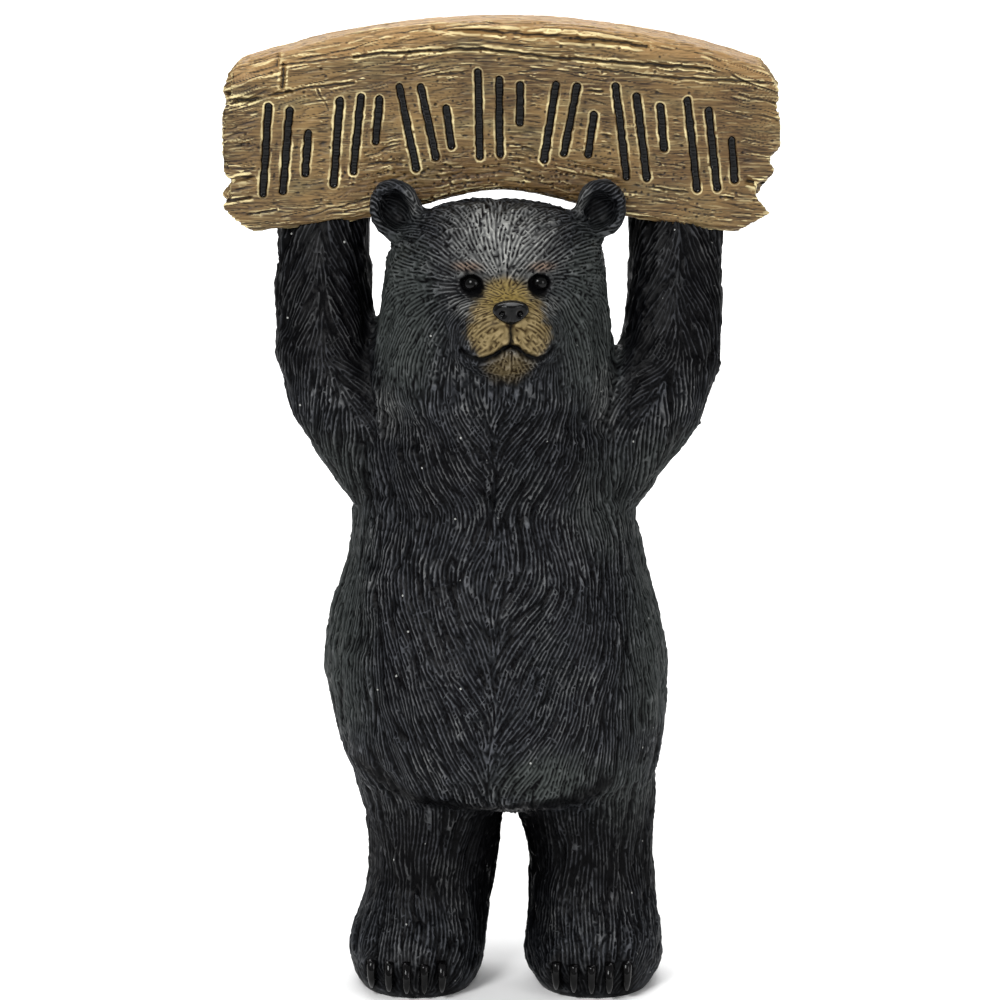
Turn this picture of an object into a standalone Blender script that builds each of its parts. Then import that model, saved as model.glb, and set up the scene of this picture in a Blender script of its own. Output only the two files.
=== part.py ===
"""A standing bear that holds an arched log slab over its head, cast in resin and painted by hand.

The figure is laid out on a grid of its own: grid_steps steps from the soles to the ear tips.
X runs to the viewer's right, Y to the back, Z up. The board is sized in metres of its own.
"""
import math

import bmesh
import bpy
import numpy as np
from mathutils import Euler, Matrix, Vector
from mathutils.bvhtree import BVHTree

# Driving dimensions of the figure
bear_height = 0.335
head_turn = math.radians(5.3)

# Driving dimensions of the board, in metres
board_length = 0.2325
board_height = 0.0715
board_thickness = 0.024
board_top_radius = 0.325
board_arch_rise = 0.0215
board_arch_reach = 0.052
board_edge_round = 0.003
grain_depth = 0.0007
grain_lines = 9
plank_split_depth = 0.0022
plank_split_drop = 0.0165
plank_split_width = 0.0035
plank_split_sway = 0.0012
stroke_width = 0.0037
stroke_depth = 0.0018
stroke_groups = 7
fit_clearance = 0.0003

# The strokes' row, as shares of the board's length, of one group's pitch and of the board's height
stroke_row_share = 0.88
stroke_group_share = 0.74
stroke_row_low = 0.20
stroke_row_high = 0.70

# Wear of the board's ends, over a share of its half length: how deep the top corner is cut,
# then for each end the lower corner's cut and the notches as height share, half width and depth
worn_share = 0.16
top_corner = 0.0085
end_wear = {
    -1: (0.0140, ((0.33, 0.10, 0.0048), (0.79, 0.05, 0.0022))),
    1: (0.0186, ((0.26, 0.14, 0.0102), (0.47, 0.08, 0.0048), (0.80, 0.05, 0.0022))),
}

# How fine the solids are
body_cell = 1.6
blend_rounds = 10
rough_triangles = 15500
bear_triangles = 5600
board_stations = 24
board_rows = 12
seat_stations = 17

grid_steps = 335
step = bear_height / grid_steps

# Places on the figure's grid, in steps
ear_back = 9.2
wrist_rest = 313.6
arm_axis = 72.8
eye_spread = 13.7
eye_level = 296.9
eye_front = -42.0
eye_radius = 3.5
nose_level = 290.9
nose_front = -64.5
toe_count = 5
toe_spread = 14.5
claw_top = 16.5
claw_tip = 2.6
claw_radius = 1.9

# Fur: big tufts with smaller strands on them, each with its spacing, length and depth in steps
tuft_spacing = 13.0
tuft_length = 30.0
tuft_depth = 2.3
strand_spacing = 7.5
strand_length = 22.0
strand_depth = 1.1
fur_level = 0.45


def clear_scene():
    for item in list(bpy.data.objects):
        bpy.data.objects.remove(item)


def rounded(angle, power=2.2):
    """Point on a unit superellipse."""
    across, along = math.cos(angle), math.sin(angle)
    return (
        math.copysign(abs(across) ** (2 / power), across),
        math.copysign(abs(along) ** (2 / power), along),
    )


def level_ring(height, centre, half_width, front, back, middle=0.0, sides=40):
    """Ring round the body at one height, with its own front and back depth."""
    points = []
    for k in range(sides):
        across, along = rounded(2 * math.pi * k / sides)
        depth = (back - middle) if along > 0 else (middle - front)
        points.append(Vector((centre + half_width * across, middle + depth * along, height)))
    return points


def limb_ring(centre, ahead, wide, deep, sides=28):
    """Ring square to a limb that runs along ahead."""
    out = Vector((0, 1, 0)).cross(ahead).normalized()
    up = ahead.cross(out).normalized()
    points = []
    for k in range(sides):
        across, along = rounded(2 * math.pi * k / sides)
        points.append(centre + out * (wide * across) + up * (deep * along))
    return points


def add_loft(shape, rings):
    """Closed skin through rings of equal count."""
    levels = [[shape.verts.new(point) for point in ring] for ring in rings]
    for lower, upper in zip(levels, levels[1:]):
        for k in range(len(lower)):
            n = (k + 1) % len(lower)
            shape.faces.new((lower[k], lower[n], upper[n], upper[k]))
    shape.faces.new(list(reversed(levels[0])))
    shape.faces.new(levels[-1])


def add_ball(shape, centre, radii, turn=None, segments=20):
    """Ellipsoid, turned about its own centre."""
    matrix = Matrix.Translation(centre) @ (turn or Matrix()) @ Matrix.Diagonal((*radii, 1))
    bmesh.ops.create_uvsphere(shape, u_segments=segments, v_segments=segments // 2, radius=1, matrix=matrix)


def limb_rings(path, sides=28):
    """Rings along a limb's path of (centre, half width, half depth)."""
    rings = []
    for k, (centre, wide, deep) in enumerate(path):
        before = path[max(k - 1, 0)][0]
        after = path[min(k + 1, len(path) - 1)][0]
        rings.append(limb_ring(centre, (after - before).normalized(), wide, deep, sides))
    return rings


def add_torso(shape):
    # height, centre, half width, front, back
    rows = [
        (70, 3.4, 36, -26, 26), (74, 3.4, 50, -42, 36), (80, 3, 58.5, -54, 43), (88, 2, 63.5, -62, 47),
        (98, 0.5, 66.8, -66.5, 50), (113, 0, 69, -67.5, 51), (128, -1.4, 70.8, -65.5, 51),
        (143, -2, 70.4, -61, 50), (158, -2.4, 67.2, -56, 48), (179, -1.8, 60.8, -49, 45),
        (199, -2.6, 58, -46.5, 43), (215, -3, 55, -46.5, 41), (230, -3.4, 53, -46, 38), (244, -3.5, 48, -42, 34),
        (256, -3, 34, -26, 24),
    ]
    add_loft(shape, [level_ring(*row) for row in rows])


def add_legs(shape):
    # height, left centre, right centre, half width, front, back, widest line
    rows = [
        (-3, -34.6, 39, 21, -44, 22, -14), (3, -34.6, 39, 25.5, -50, 28, -14), (10, -34.6, 39, 28, -52.5, 31, -14),
        (17, -34.3, 39, 28.2, -51, 31, -12), (24, -33, 39, 27.6, -46.5, 30, -8), (33, -30.5, 38.7, 26.6, -39, 29, -3),
        (47, -28.2, 38.4, 26.2, -34, 29, 0), (60, -27.6, 37, 27.2, -35, 31, 0), (72, -28, 35.2, 29.2, -39, 34, 0),
        (84, -29, 33.2, 31.2, -44, 37, 0), (97, -29, 31, 32, -42, 37, 0), (112, -24, 26, 20, -26, 24, 0),
    ]
    for side in (1, 2):
        rings = [level_ring(row[0], row[side], row[3], row[4], row[5], row[6], sides=32) for row in rows]
        add_loft(shape, rings)


def add_toes(shape):
    for centre, front in foot_places():
        for k in range(toe_count):
            place, lean = toe_place(centre, front, k)
            add_ball(shape, place, (4.6, 8.0, 6.6), Matrix.Rotation(lean, 4, "Z"), 16)


def foot_places():
    """Centre and front line of both feet."""
    return ((-38.5, -52.5), (37.8, -54.0))


def toe_place(centre, front, k):
    """Where a toe's pad sits, and how far it turns outward."""
    spread = (k - (toe_count - 1) / 2) / ((toe_count - 1) / 2)
    place = Vector((centre + toe_spread * spread, front + 8 + 4.5 * spread ** 2, 13))
    return place, math.radians(16) * spread


def arm_path(side, back_line):
    """Raised arm from inside the shoulder to the finger tips behind the board."""
    inward = 4.5 if side > 0 else 0
    return [
        (Vector((side * (22 - inward), 0, 194)), 19, 27), (Vector((side * (37 - inward), 0, 209)), 24.5, 28),
        (Vector((side * (51 - 0.8 * inward), 2, 226)), 24, 26.5),
        (Vector((side * (64.5 - 0.3 * inward), 6, 244)), 23, 24),
        (Vector((side * (71.5 - 0.1 * inward), 12, 262)), 21.5, 22), (Vector((side * arm_axis, 18, 282)), 20, 20.5),
        (Vector((side * arm_axis, 25, 300)), 19.2, 19), (Vector((side * arm_axis, back_line - 4, 316)), 19.4, 17.5),
        (Vector((side * (arm_axis - 0.5), back_line + 6, 330)), 20.5, 14.5),
        (Vector((side * (arm_axis - 1), back_line + 7, 344)), 20, 12.5),
        (Vector((side * (arm_axis - 1), back_line + 6.5, 353)), 15, 10),
        (Vector((side * (arm_axis - 1), back_line + 6, 358)), 8, 6),
    ]


def finger_place(side, back_line, k):
    """Where a finger's tip sits on the board's back."""
    spread = (k - (toe_count - 1) / 2) / ((toe_count - 1) / 2)
    return Vector((side * (arm_axis - 1) + 15 * spread, back_line + 5.5, 352 - 5 * spread ** 2)), spread


def add_arms(shape, back_line):
    for side in (-1, 1):
        add_loft(shape, limb_rings(arm_path(side, back_line)))
        for k in range(toe_count):
            place, spread = finger_place(side, back_line, k)
            add_ball(shape, place, (4.6, 5.5, 8.5), Matrix.Rotation(math.radians(14) * spread, 4, "Y"), 16)


def add_head(shape):
    # height, centre, half width, front, back
    rows = [
        (226, -3.5, 40, -34, 28), (236, -3.5, 48, -42.5, 34), (247, -3.5, 50.5, -44, 35), (257, -3.3, 50.3, -43.5, 34),
        (267, -3, 49, -43.5, 34),
        (277, -2.5, 47.8, -43, 33), (287, -2, 46.8, -42.5, 32), (298, -1.5, 45.6, -41.5, 30),
        (306, -1.4, 44.4, -38.5, 26), (313, -1.2, 41, -34, 21), (319.5, -1, 34.5, -27, 14),
        (325, -1, 24, -17, 6), (327.5, -1, 10, -8, 0),
    ]
    add_loft(shape, [level_ring(*row) for row in rows])
    # depth, middle height, half width, reach up, reach down
    snout = [
        (-26, 281.5, 28, 19, 25), (-38, 281.5, 25.5, 18, 23.5), (-45, 281, 22.5, 16.2, 21),
        (-50.5, 280.6, 20, 14.2, 18), (-55.5, 280.5, 17.6, 12.6, 14.5), (-59.5, 281.3, 15, 11.2, 11),
        (-62.5, 282.8, 11, 8.5, 7.5), (-64.5, 284.3, 5.5, 5, 4),
    ]
    rings = []
    for depth, middle, wide, up, down in snout:
        ring = []
        for k in range(28):
            across, along = rounded(2 * math.pi * k / 28)
            ring.append(Vector((wide * across, depth, middle + (up if along > 0 else down) * along)))
        rings.append([head_frame() @ point for point in reversed(ring)])
    add_loft(shape, rings)


def head_frame():
    """From the head's own frame, facing straight ahead, to the figure's."""
    return Matrix.Translation((-1.5, 0, 0)) @ Matrix.Rotation(head_turn, 4, "Z")


def add_ears(shape):
    # depth, share of the outline, drop towards the head
    rows = [
        (ear_back, 0.42, -3), (ear_back - 1.2, 0.78, -1.5), (ear_back - 4, 0.98, 0), (ear_back - 8, 1.04, 0),
        (ear_back - 12, 1.0, 0), (ear_back - 14.5, 0.9, 0), (ear_back - 14.8, 0.78, 0), (ear_back - 12, 0.66, 0),
        (ear_back - 8, 0.56, -0.5), (ear_back - 6, 0.3, -1),
    ]
    for side, centre in ((-1, -43.1), (1, 41.0)):
        rings = []
        for depth, share, drop in rows:
            ring = []
            for k in range(24):
                across, along = rounded(2 * math.pi * k / 24, 2.05)
                offset = Vector((10.3 * share * across, 0, 12.4 * share * along + drop))
                offset.rotate(Euler((0, math.radians(14) * side, 0)))
                ring.append(Vector((centre, depth, 322.6)) + offset)
            rings.append(ring)
        add_loft(shape, rings)


def body_form(back_line):
    """All fleshy forms, fused into one skin and blended where they meet."""
    shape = bmesh.new()
    add_torso(shape)
    add_legs(shape)
    add_toes(shape)
    add_arms(shape, back_line)
    add_head(shape)
    add_ears(shape)
    bmesh.ops.recalc_face_normals(shape, faces=shape.faces[:])
    skin = mesh_object("form", shape)
    fuse = skin.modifiers.new("fuse", "REMESH")
    fuse.mode = "VOXEL"
    fuse.voxel_size = body_cell
    blend = skin.modifiers.new("blend", "SMOOTH")
    blend.factor = 0.5
    blend.iterations = blend_rounds
    return settle(skin)


def mesh_object(name, shape):
    """Object from a bmesh, which is freed."""
    mesh = bpy.data.meshes.new(name)
    shape.to_mesh(mesh)
    shape.free()
    item = bpy.data.objects.new(name, mesh)
    bpy.context.collection.objects.link(item)
    return item


def settle(item):
    """Mesh of an object with its modifiers applied; the object is removed."""
    graph = bpy.context.evaluated_depsgraph_get()
    mesh = bpy.data.meshes.new_from_object(item.evaluated_get(graph))
    bpy.data.objects.remove(item)
    return mesh


def read_points(mesh, field="co"):
    values = np.empty(len(mesh.vertices) * 3, dtype=np.float32)
    mesh.vertices.foreach_get(field, values)
    return values.reshape(-1, 3).astype(float)


def write_points(mesh, points):
    mesh.vertices.foreach_set("co", points.astype(np.float32).ravel())
    mesh.update()


def fade(values, start, end):
    """0 before start, 1 past end, smooth between."""
    share = np.clip((values - start) / (end - start), 0, 1)
    return share * share * (3 - 2 * share)


def unit(vectors):
    return vectors / np.maximum(np.linalg.norm(vectors, axis=1, keepdims=True), 1e-9)


def face_points(points):
    """The same points in the head's own frame."""
    back = np.array(head_frame().inverted())
    return points @ back[:3, :3].T + back[:3, 3]


def fur_flow(points, normals):
    """Which way the fur lies: from root to tip, along the surface."""
    x, y, z = points.T
    front = fade(-y, -8, 12)
    seam = x + 1.5
    inward = -np.tanh(seam / 3) * 0.72 * np.exp(-(seam / 46) ** 2) * front
    flow = np.stack([inward, np.zeros_like(x), -np.ones_like(x)], axis=1)

    # Raised arms: down the arm, and away from its middle line
    for side in (-1, 1):
        shoulder = np.array([side * 37, 0, 209])
        elbow = np.array([side * 71, 12, 262])
        hand = np.array([side * arm_axis, 40, 345])
        ahead = np.where((z > 262)[:, None], unit((hand - elbow)[None]), unit((elbow - shoulder)[None]))
        middle = np.where(z > 262, side * arm_axis, side * (37 + 34 * (z - 209) / 53))
        away = np.tanh((x - middle) / 5) * 0.6
        arm_flow = -ahead + np.stack([away, np.zeros_like(x), np.zeros_like(x)], axis=1)
        share = fade(side * x, 48, 60) * fade(z, 212, 232)
        flow = flow * (1 - share)[:, None] + arm_flow * share[:, None]

    # Head: out from the bridge of the nose
    source = np.array(head_frame() @ Vector((0, nose_front + 4, 298)))
    ray = unit(points - source)
    ray[:, 2] -= 0.15
    share = fade(z, 238, 262) * (1 - fade(np.abs(x), 50, 58))
    flow = flow * (1 - share)[:, None] + ray * share[:, None]

    # Feet: over the instep to the toes
    share = (1 - fade(z, 18, 44)) * front
    flow = flow + np.stack([np.zeros_like(x), -0.8 * share, np.zeros_like(x)], axis=1)

    flow -= normals * np.sum(flow * normals, axis=1, keepdims=True)
    return unit(flow)


def lock_height(points, flow, spacing, length, seed, samples=9):
    """Tapering locks: from scattered roots down the flow to a point, 0 between them and 1 on top."""
    reach = spacing * 0.5
    low = points.min(axis=0) - length - 2 * spacing
    counts = np.ceil((points.max(axis=0) + length + 2 * spacing - low) / spacing).astype(int) + 1
    scatter = np.random.default_rng(seed).random((*counts, 3))
    best = np.zeros(len(points))
    for k in range(samples):
        share = k / (samples - 1)
        radius = reach * math.sqrt(max(1 - share, 0.02)) * (0.75 + 0.25 * min(share * 4, 1))
        spot = (points - flow * (share * length) - low) / spacing
        corner = np.floor(spot - 0.5).astype(int)
        for dx in (0, 1):
            for dy in (0, 1):
                for dz in (0, 1):
                    cell = corner + (dx, dy, dz)
                    root = cell + scatter[cell[:, 0], cell[:, 1], cell[:, 2]]
                    gap = np.sum((spot - root) ** 2, axis=1) * spacing ** 2
                    height = (1 - gap / radius ** 2) * (1 - 0.35 * share)
                    best = np.maximum(best, height)
    return best


def bare_share(points):
    """1 where the surface stays smooth: muzzle tip, eyes, ear hollows and soles."""
    local = face_points(points)
    muzzle = fade(-local[:, 1], 44, 54) * fade(points[:, 2], 255, 265)
    eyes = np.zeros(len(points))
    for side in (-1, 1):
        gap = np.linalg.norm(local[:, [0, 2]] - (side * eye_spread, eye_level), axis=1)
        eyes = np.maximum(eyes, (1 - fade(gap, 6, 11)) * fade(-local[:, 1], 20, 26))
    ears = fade(points[:, 2], 312, 318) * fade(np.abs(points[:, 0]), 30, 35)
    soles = 1 - fade(points[:, 2], 1, 8)
    return np.maximum.reduce([muzzle, eyes, 0.8 * ears, soles])


def mouth_line():
    """The mouth from one corner to the other, across and up, in the head's frame."""
    return [(-20.5, 273.2), (-17, 270.8), (-11.5, 269.8), (-6.5, 272), (-2.5, 275.2), (0, 276),
            (2.5, 275.2), (6.5, 272), (11.5, 269.8), (17, 271.4), (20.5, 274.2)]


def line_gap(points, line):
    """Distance of points, across and up, from a line of straight runs."""
    best = np.full(len(points), 1e9)
    for start, end in zip(line, line[1:]):
        start, run = np.array(start), np.array(end) - np.array(start)
        share = np.clip(((points - start) @ run) / (run @ run), 0, 1)
        best = np.minimum(best, np.linalg.norm(points - start - share[:, None] * run, axis=1))
    return best


def model_face(points):
    """Brows, eye sockets, cheeks, mouth line and groove under the nose."""
    local = face_points(points)
    front = fade(-local[:, 1], 22, 30) * fade(local[:, 2], 250, 258)
    flat = local[:, [0, 2]]
    push = np.zeros(len(points))
    for side in (-1, 1):
        gap = np.linalg.norm((flat - (side * eye_spread, eye_level)) / (1.15, 1), axis=1)
        push += 3.4 * np.exp(-(gap / 5.6) ** 2)
        gap = np.linalg.norm((flat - (side * (eye_spread - 0.5), eye_level + 8.5)) / (1.9, 1), axis=1)
        push -= 2.6 * np.exp(-(gap / 4.4) ** 2)
        gap = np.linalg.norm((flat - (side * 29, 276)) / (1, 1.3), axis=1)
        push -= 2.4 * np.exp(-(gap / 11) ** 2)
        gap = np.linalg.norm(flat - (side * 9, 281), axis=1)
        push -= 1.2 * np.exp(-(gap / 6) ** 2)
    push += 2.4 * np.exp(-(line_gap(flat, mouth_line()) / 1.7) ** 2)
    push += 1.6 * np.exp(-(line_gap(flat, [(0, 276.4), (0, 286.4)]) / 1.5) ** 2)
    ahead = np.array(head_frame().to_3x3() @ Vector((0, 1, 0)))
    return points + ahead * (push * front)[:, None]


def thinned(mesh, triangles, keep=None):
    """The mesh with fewer triangles; places where keep is 1 stay as they are."""
    item = bpy.data.objects.new("thinned", mesh)
    bpy.context.collection.objects.link(item)
    thin = item.modifiers.new("thin", "DECIMATE")
    thin.ratio = triangles / sum(len(face.vertices) - 2 for face in mesh.polygons)
    thin.use_collapse_triangulate = True
    if keep is not None:
        group = item.vertex_groups.new(name="thin")
        for index in np.flatnonzero(keep < 0.99):
            group.add([int(index)], float(1 - keep[index]), "REPLACE")
        thin.vertex_group = group.name
        thin.vertex_group_factor = 1.0
    return settle(item)


def fine_share(points):
    """1 where the solid keeps small facets: the face and the claws' places."""
    local = face_points(points)
    face = (-local[:, 1] > 33) & (local[:, 2] > 258) & (local[:, 2] < 308) & (np.abs(local[:, 0]) < 25)
    toes = (points[:, 2] > 1) & (points[:, 2] < 21) & (-points[:, 1] > 44)
    ears = (points[:, 2] > 313) & (points[:, 1] < ear_back) & (np.abs(points[:, 0]) > 32)
    return (face | toes | ears & (np.abs(points[:, 0]) < 56)).astype(float)


def surface_front(tree, x, z):
    """Foremost point of the skin at a place seen from the front."""
    hit = tree.ray_cast(Vector((x, -200, z)), Vector((0, 1, 0)))
    return hit[0]


def add_claw(shape, path, radius):
    """Tapering claw along a path, from its root to its tip."""
    rings = []
    for k, centre in enumerate(path):
        share = k / (len(path) - 1)
        ahead = path[min(k + 1, len(path) - 1)] - path[max(k - 1, 0)]
        size = radius * (1 - 0.72 * share ** 2)
        rings.append(limb_ring(centre, ahead.normalized(), size, size * 1.1, sides=6))
    add_loft(shape, rings)


def add_claws(shape, tree, back_line):
    for centre, front in foot_places():
        for k in range(toe_count):
            place, lean = toe_place(centre, front, k)
            path = []
            for share, stand_out in ((0, -0.6), (0.3, 1.1), (0.7, 1.2), (1, 0.9)):
                height = claw_top + (claw_tip - claw_top) * share
                skin = surface_front(tree, place.x, height)
                path.append(skin + Vector((0, -stand_out, 0)))
            add_claw(shape, path, claw_radius)
    for side in (-1, 1):
        for k in range(toe_count):
            place, spread = finger_place(side, back_line, k)
            path = [place + Vector((2.4 * spread * share, 3.2 - 4.2 * share ** 2, 4 + 11 * share))
                    for share in (0, 0.35, 0.7, 1)]
            add_claw(shape, path, claw_radius)


def add_features(shape, tree, back_line):
    """Eyes, nose and claws: crisp forms joined to the skin."""
    frame = head_frame()
    for side in (-1, 1):
        place = frame @ Vector((side * eye_spread, eye_front, eye_level))
        skin = surface_front(tree, place.x, place.z)
        add_ball(shape, skin + Vector((0, 0.9, 0)), (eye_radius, 3.2, eye_radius), None, 12)
    nose = frame @ Vector((0, nose_front + 1.5, nose_level))
    add_ball(shape, nose, (7.4, 4.6, 5.6), Matrix.Rotation(head_turn, 4, "Z"), 14)
    add_claws(shape, tree, back_line)


def make_bear(back_line):
    """The figure as one solid, in metres."""
    mesh = body_form(back_line)
    points, normals = read_points(mesh), read_points(mesh, "normal")
    flow = fur_flow(points, normals)
    keep = 1 - bare_share(points)
    tufts = lock_height(points, flow, tuft_spacing, tuft_length, seed=5)
    strands = lock_height(points, flow, strand_spacing, strand_length, seed=8)
    relief = tuft_depth * (tufts - fur_level) + strand_depth * (strands - fur_level)
    points = points + normals * (relief * keep)[:, None]
    write_points(mesh, model_face(points))
    mesh = thinned(mesh, rough_triangles)
    mesh = thinned(mesh, bear_triangles, fine_share(read_points(mesh)))

    bear = bpy.data.objects.new("bear", mesh)
    bpy.context.collection.objects.link(bear)
    shape = bmesh.new()
    shape.from_mesh(mesh)
    tree = BVHTree.FromBMesh(shape)
    shape.free()
    details = bmesh.new()
    add_features(details, tree, back_line)
    features = cutter("features", details)
    features.data.transform(Matrix.Scale(step, 4))
    mesh.transform(Matrix.Scale(step, 4))
    join = bear.modifiers.new("features", "BOOLEAN")
    join.operation = "UNION"
    join.object = features
    cut(bear, ground())
    return bear


def ground():
    """Cutter that leaves the soles flat at height 0."""
    shape = bmesh.new()
    middle = Matrix.Translation((0, 0, -bear_height / 2))
    bmesh.ops.create_cube(shape, size=bear_height, matrix=middle)
    return cutter("ground", shape)


def cutter(name, shape):
    """Hidden object that only a Boolean reads."""
    item = mesh_object(name, shape)
    item.hide_render = True
    item.display_type = "WIRE"
    return item


def arc_drop(radius, x):
    return radius - math.sqrt(max(radius ** 2 - x ** 2, 0))


def board_edges(x):
    """Lower and upper edge of the slab at a place along it, from its middle's lower edge."""
    low = -board_arch_rise * x ** 2 / (x ** 2 + board_arch_reach ** 2)
    return low, board_height - arc_drop(board_top_radius, x)


def end_inset(side, share):
    """How far the slab's end is worn back at a share of its height: cut corners and notches."""
    corner, chips = end_wear[side]
    depth = corner * max(0.0, 1 - share / 0.2) ** 1.3
    depth += top_corner * max(0.0, (share - 0.84) / 0.16) ** 2
    for middle, half, size in chips:
        depth = max(depth, size * max(0.0, 1 - ((share - middle) / half) ** 2))
    return depth


def make_board(front_line, rest_line):
    """The arched slab, lofted along its length; its face is at front_line."""
    shape = bmesh.new()
    rings = []
    for i in range(board_stations):
        along = 2 * i / (board_stations - 1) - 1
        ring = []
        for share, face in slab_outline():
            side = -1 if along < 0 else 1
            x = along * board_length / 2 - side * end_inset(side, share) * end_share(along)
            low, high = board_edges(x)
            z = low + (high - low) * share
            y = front_line + slab_depth(x, share, face)
            ring.append(Vector((x, y, rest_line + z)))
        rings.append(ring)
    add_loft(shape, rings)
    bmesh.ops.recalc_face_normals(shape, faces=shape.faces[:])
    return mesh_object("sign_board", shape)


def end_share(along):
    """Rises from 0 to 1 over the last stretch before either end."""
    return max(0.0, (abs(along) - 1 + worn_share) / worn_share)


def slab_outline():
    """Shares of the height up the face and down the back."""
    shares = [k / (board_rows - 1) for k in range(board_rows)]
    return [(share, "face") for share in shares] + [(share, "back") for share in reversed(shares)]


def slab_depth(x, share, face):
    """Depth behind the face line: rounded long edges, grain and the split of the top plank."""
    edge = min(share, 1 - share) * board_height
    rounding = board_edge_round * max(0.0, 1 - edge / board_edge_round)
    wave = math.sin(share * grain_lines * math.pi + 1.4 * math.sin(x * 38) + x * 9)
    grain = grain_depth * (0.5 + 0.5 * wave)
    if face == "back":
        return board_thickness - rounding - grain
    split = (1 - share) * board_height - plank_split_drop - plank_split_sway * math.sin(x * 31 + 1)
    crack = plank_split_depth * math.exp(-(split / plank_split_width) ** 2)
    return rounding + max(grain, crack)


def add_stroke(shape, start, end, front):
    """Cutter for one shallow stroke on the face, between two places across and up."""
    run = end - start
    across = Vector((-run.y, run.x)).normalized() * (stroke_width / 2)
    corners = [start - across, end - across, end + across, start + across]
    near = [shape.verts.new((p.x, front - stroke_depth, p.y)) for p in corners]
    far = [shape.verts.new((p.x, front + stroke_depth + grain_depth, p.y)) for p in corners]
    add_skin(shape, near, far)


def add_skin(shape, near, far):
    for k in range(len(near)):
        n = (k + 1) % len(near)
        shape.faces.new((near[k], near[n], far[n], far[k]))
    shape.faces.new(list(reversed(near)))
    shape.faces.new(far)


def stroke_marks(group):
    """Strokes of one group as shares of its box: two tall leaning bars and a short one, none touching."""
    lean = 0.14 * math.sin(1.9 * group + 0.6)
    tall = 0.06 * math.cos(2.3 * group)
    short = 0.34 + 0.22 * (group % 2)
    return (
        ((0.08 + lean, 0.96 + tall), (0.12 - lean, 0.04)),
        ((0.48 + lean, 0.92), (0.50 - lean, 0.10 - tall)),
        ((0.88 + lean * 0.4, short + 0.30), (0.88 - lean * 0.4, short - 0.14)),
    )


def stroke_cutter(front_line, rest_line):
    """All strokes of the row, set along the slab's arc."""
    shape = bmesh.new()
    pitch = board_length * stroke_row_share / stroke_groups
    for group in range(stroke_groups):
        left = (group - stroke_groups / 2 + 0.5 - stroke_group_share / 2) * pitch
        for start, end in stroke_marks(group):
            places = []
            for across, up in (start, end):
                x = left + across * pitch * stroke_group_share
                low, high = board_edges(x)
                share = stroke_row_low + (stroke_row_high - stroke_row_low) * up
                places.append(Vector((x, rest_line + low + (high - low) * share)))
            add_stroke(shape, places[0], places[1], front_line)
    bmesh.ops.recalc_face_normals(shape, faces=shape.faces[:])
    return cutter("stroke_cuts", shape)


def board_seat(front_line, rest_line):
    """The slab's plain outline grown by the fit clearance, which makes its seat in the paws."""
    shape = bmesh.new()
    rings = []
    for i in range(seat_stations):
        x = (2 * i / (seat_stations - 1) - 1) * (board_length / 2 + 2 * fit_clearance)
        low, high = board_edges(x)
        near, far = front_line - fit_clearance, front_line + board_thickness + fit_clearance
        bottom, top = rest_line + low - fit_clearance, rest_line + high + fit_clearance
        rings.append([Vector((x, near, bottom)), Vector((x, far, bottom)), Vector((x, far, top)),
                      Vector((x, near, top))])
    add_loft(shape, rings)
    bmesh.ops.recalc_face_normals(shape, faces=shape.faces[:])
    return cutter("board_seat", shape)


def paint(item, name, colour, roughness):
    material = bpy.data.materials.new(name)
    material.use_nodes = True
    shader = material.node_tree.nodes["Principled BSDF"]
    shader.inputs["Base Color"].default_value = (*colour, 1)
    shader.inputs["Roughness"].default_value = roughness
    shader.inputs["Metallic"].default_value = 0.0
    item.data.materials.clear()
    item.data.materials.append(material)


def cut(item, tool):
    change = item.modifiers.new(tool.name, "BOOLEAN")
    change.operation = "DIFFERENCE"
    change.object = tool


def centre_on_origin(solids):
    """Set everything so that the middle of the solids' underside box is the origin."""
    bpy.context.view_layer.update()
    graph = bpy.context.evaluated_depsgraph_get()
    corners = [Vector(corner) for item in solids for corner in item.evaluated_get(graph).bound_box]
    for axis in (0, 1):
        places = [corner[axis] for corner in corners]
        for item in bpy.data.objects:
            item.location[axis] = -(min(places) + max(places)) / 2


def build():
    clear_scene()
    front_line = ear_back * step + fit_clearance
    rest_line = wrist_rest * step - board_edges(arm_axis * step)[0]
    back_line = (front_line + board_thickness) / step
    bear = make_bear(back_line)
    cut(bear, board_seat(front_line, rest_line))
    paint(bear, "black fur paint", (0.018, 0.019, 0.021), 0.55)
    board = make_board(front_line, rest_line)
    cut(board, stroke_cutter(front_line, rest_line))
    paint(board, "golden wood paint", (0.30, 0.19, 0.075), 0.5)
    centre_on_origin((bear, board))


build()
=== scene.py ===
import math

import bmesh
import bpy
import numpy as np
from mathutils import Euler, Matrix, Vector
from mathutils.bvhtree import BVHTree


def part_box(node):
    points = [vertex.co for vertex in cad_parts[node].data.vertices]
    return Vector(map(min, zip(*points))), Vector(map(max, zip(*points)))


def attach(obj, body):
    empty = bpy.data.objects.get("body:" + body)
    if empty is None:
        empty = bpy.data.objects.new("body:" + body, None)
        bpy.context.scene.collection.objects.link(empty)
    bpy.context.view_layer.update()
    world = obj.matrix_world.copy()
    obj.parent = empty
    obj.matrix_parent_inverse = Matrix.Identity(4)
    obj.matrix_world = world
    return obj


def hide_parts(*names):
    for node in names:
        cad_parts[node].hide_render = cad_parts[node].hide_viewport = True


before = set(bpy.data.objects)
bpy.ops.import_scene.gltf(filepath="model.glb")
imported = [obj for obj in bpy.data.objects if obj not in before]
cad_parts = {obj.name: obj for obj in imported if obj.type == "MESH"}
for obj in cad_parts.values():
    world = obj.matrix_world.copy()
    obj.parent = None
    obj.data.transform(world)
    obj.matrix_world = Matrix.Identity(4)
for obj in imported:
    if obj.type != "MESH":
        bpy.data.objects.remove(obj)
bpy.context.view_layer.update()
print("frame loaded")


# Small helpers: colours, nodes and meshes

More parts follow.
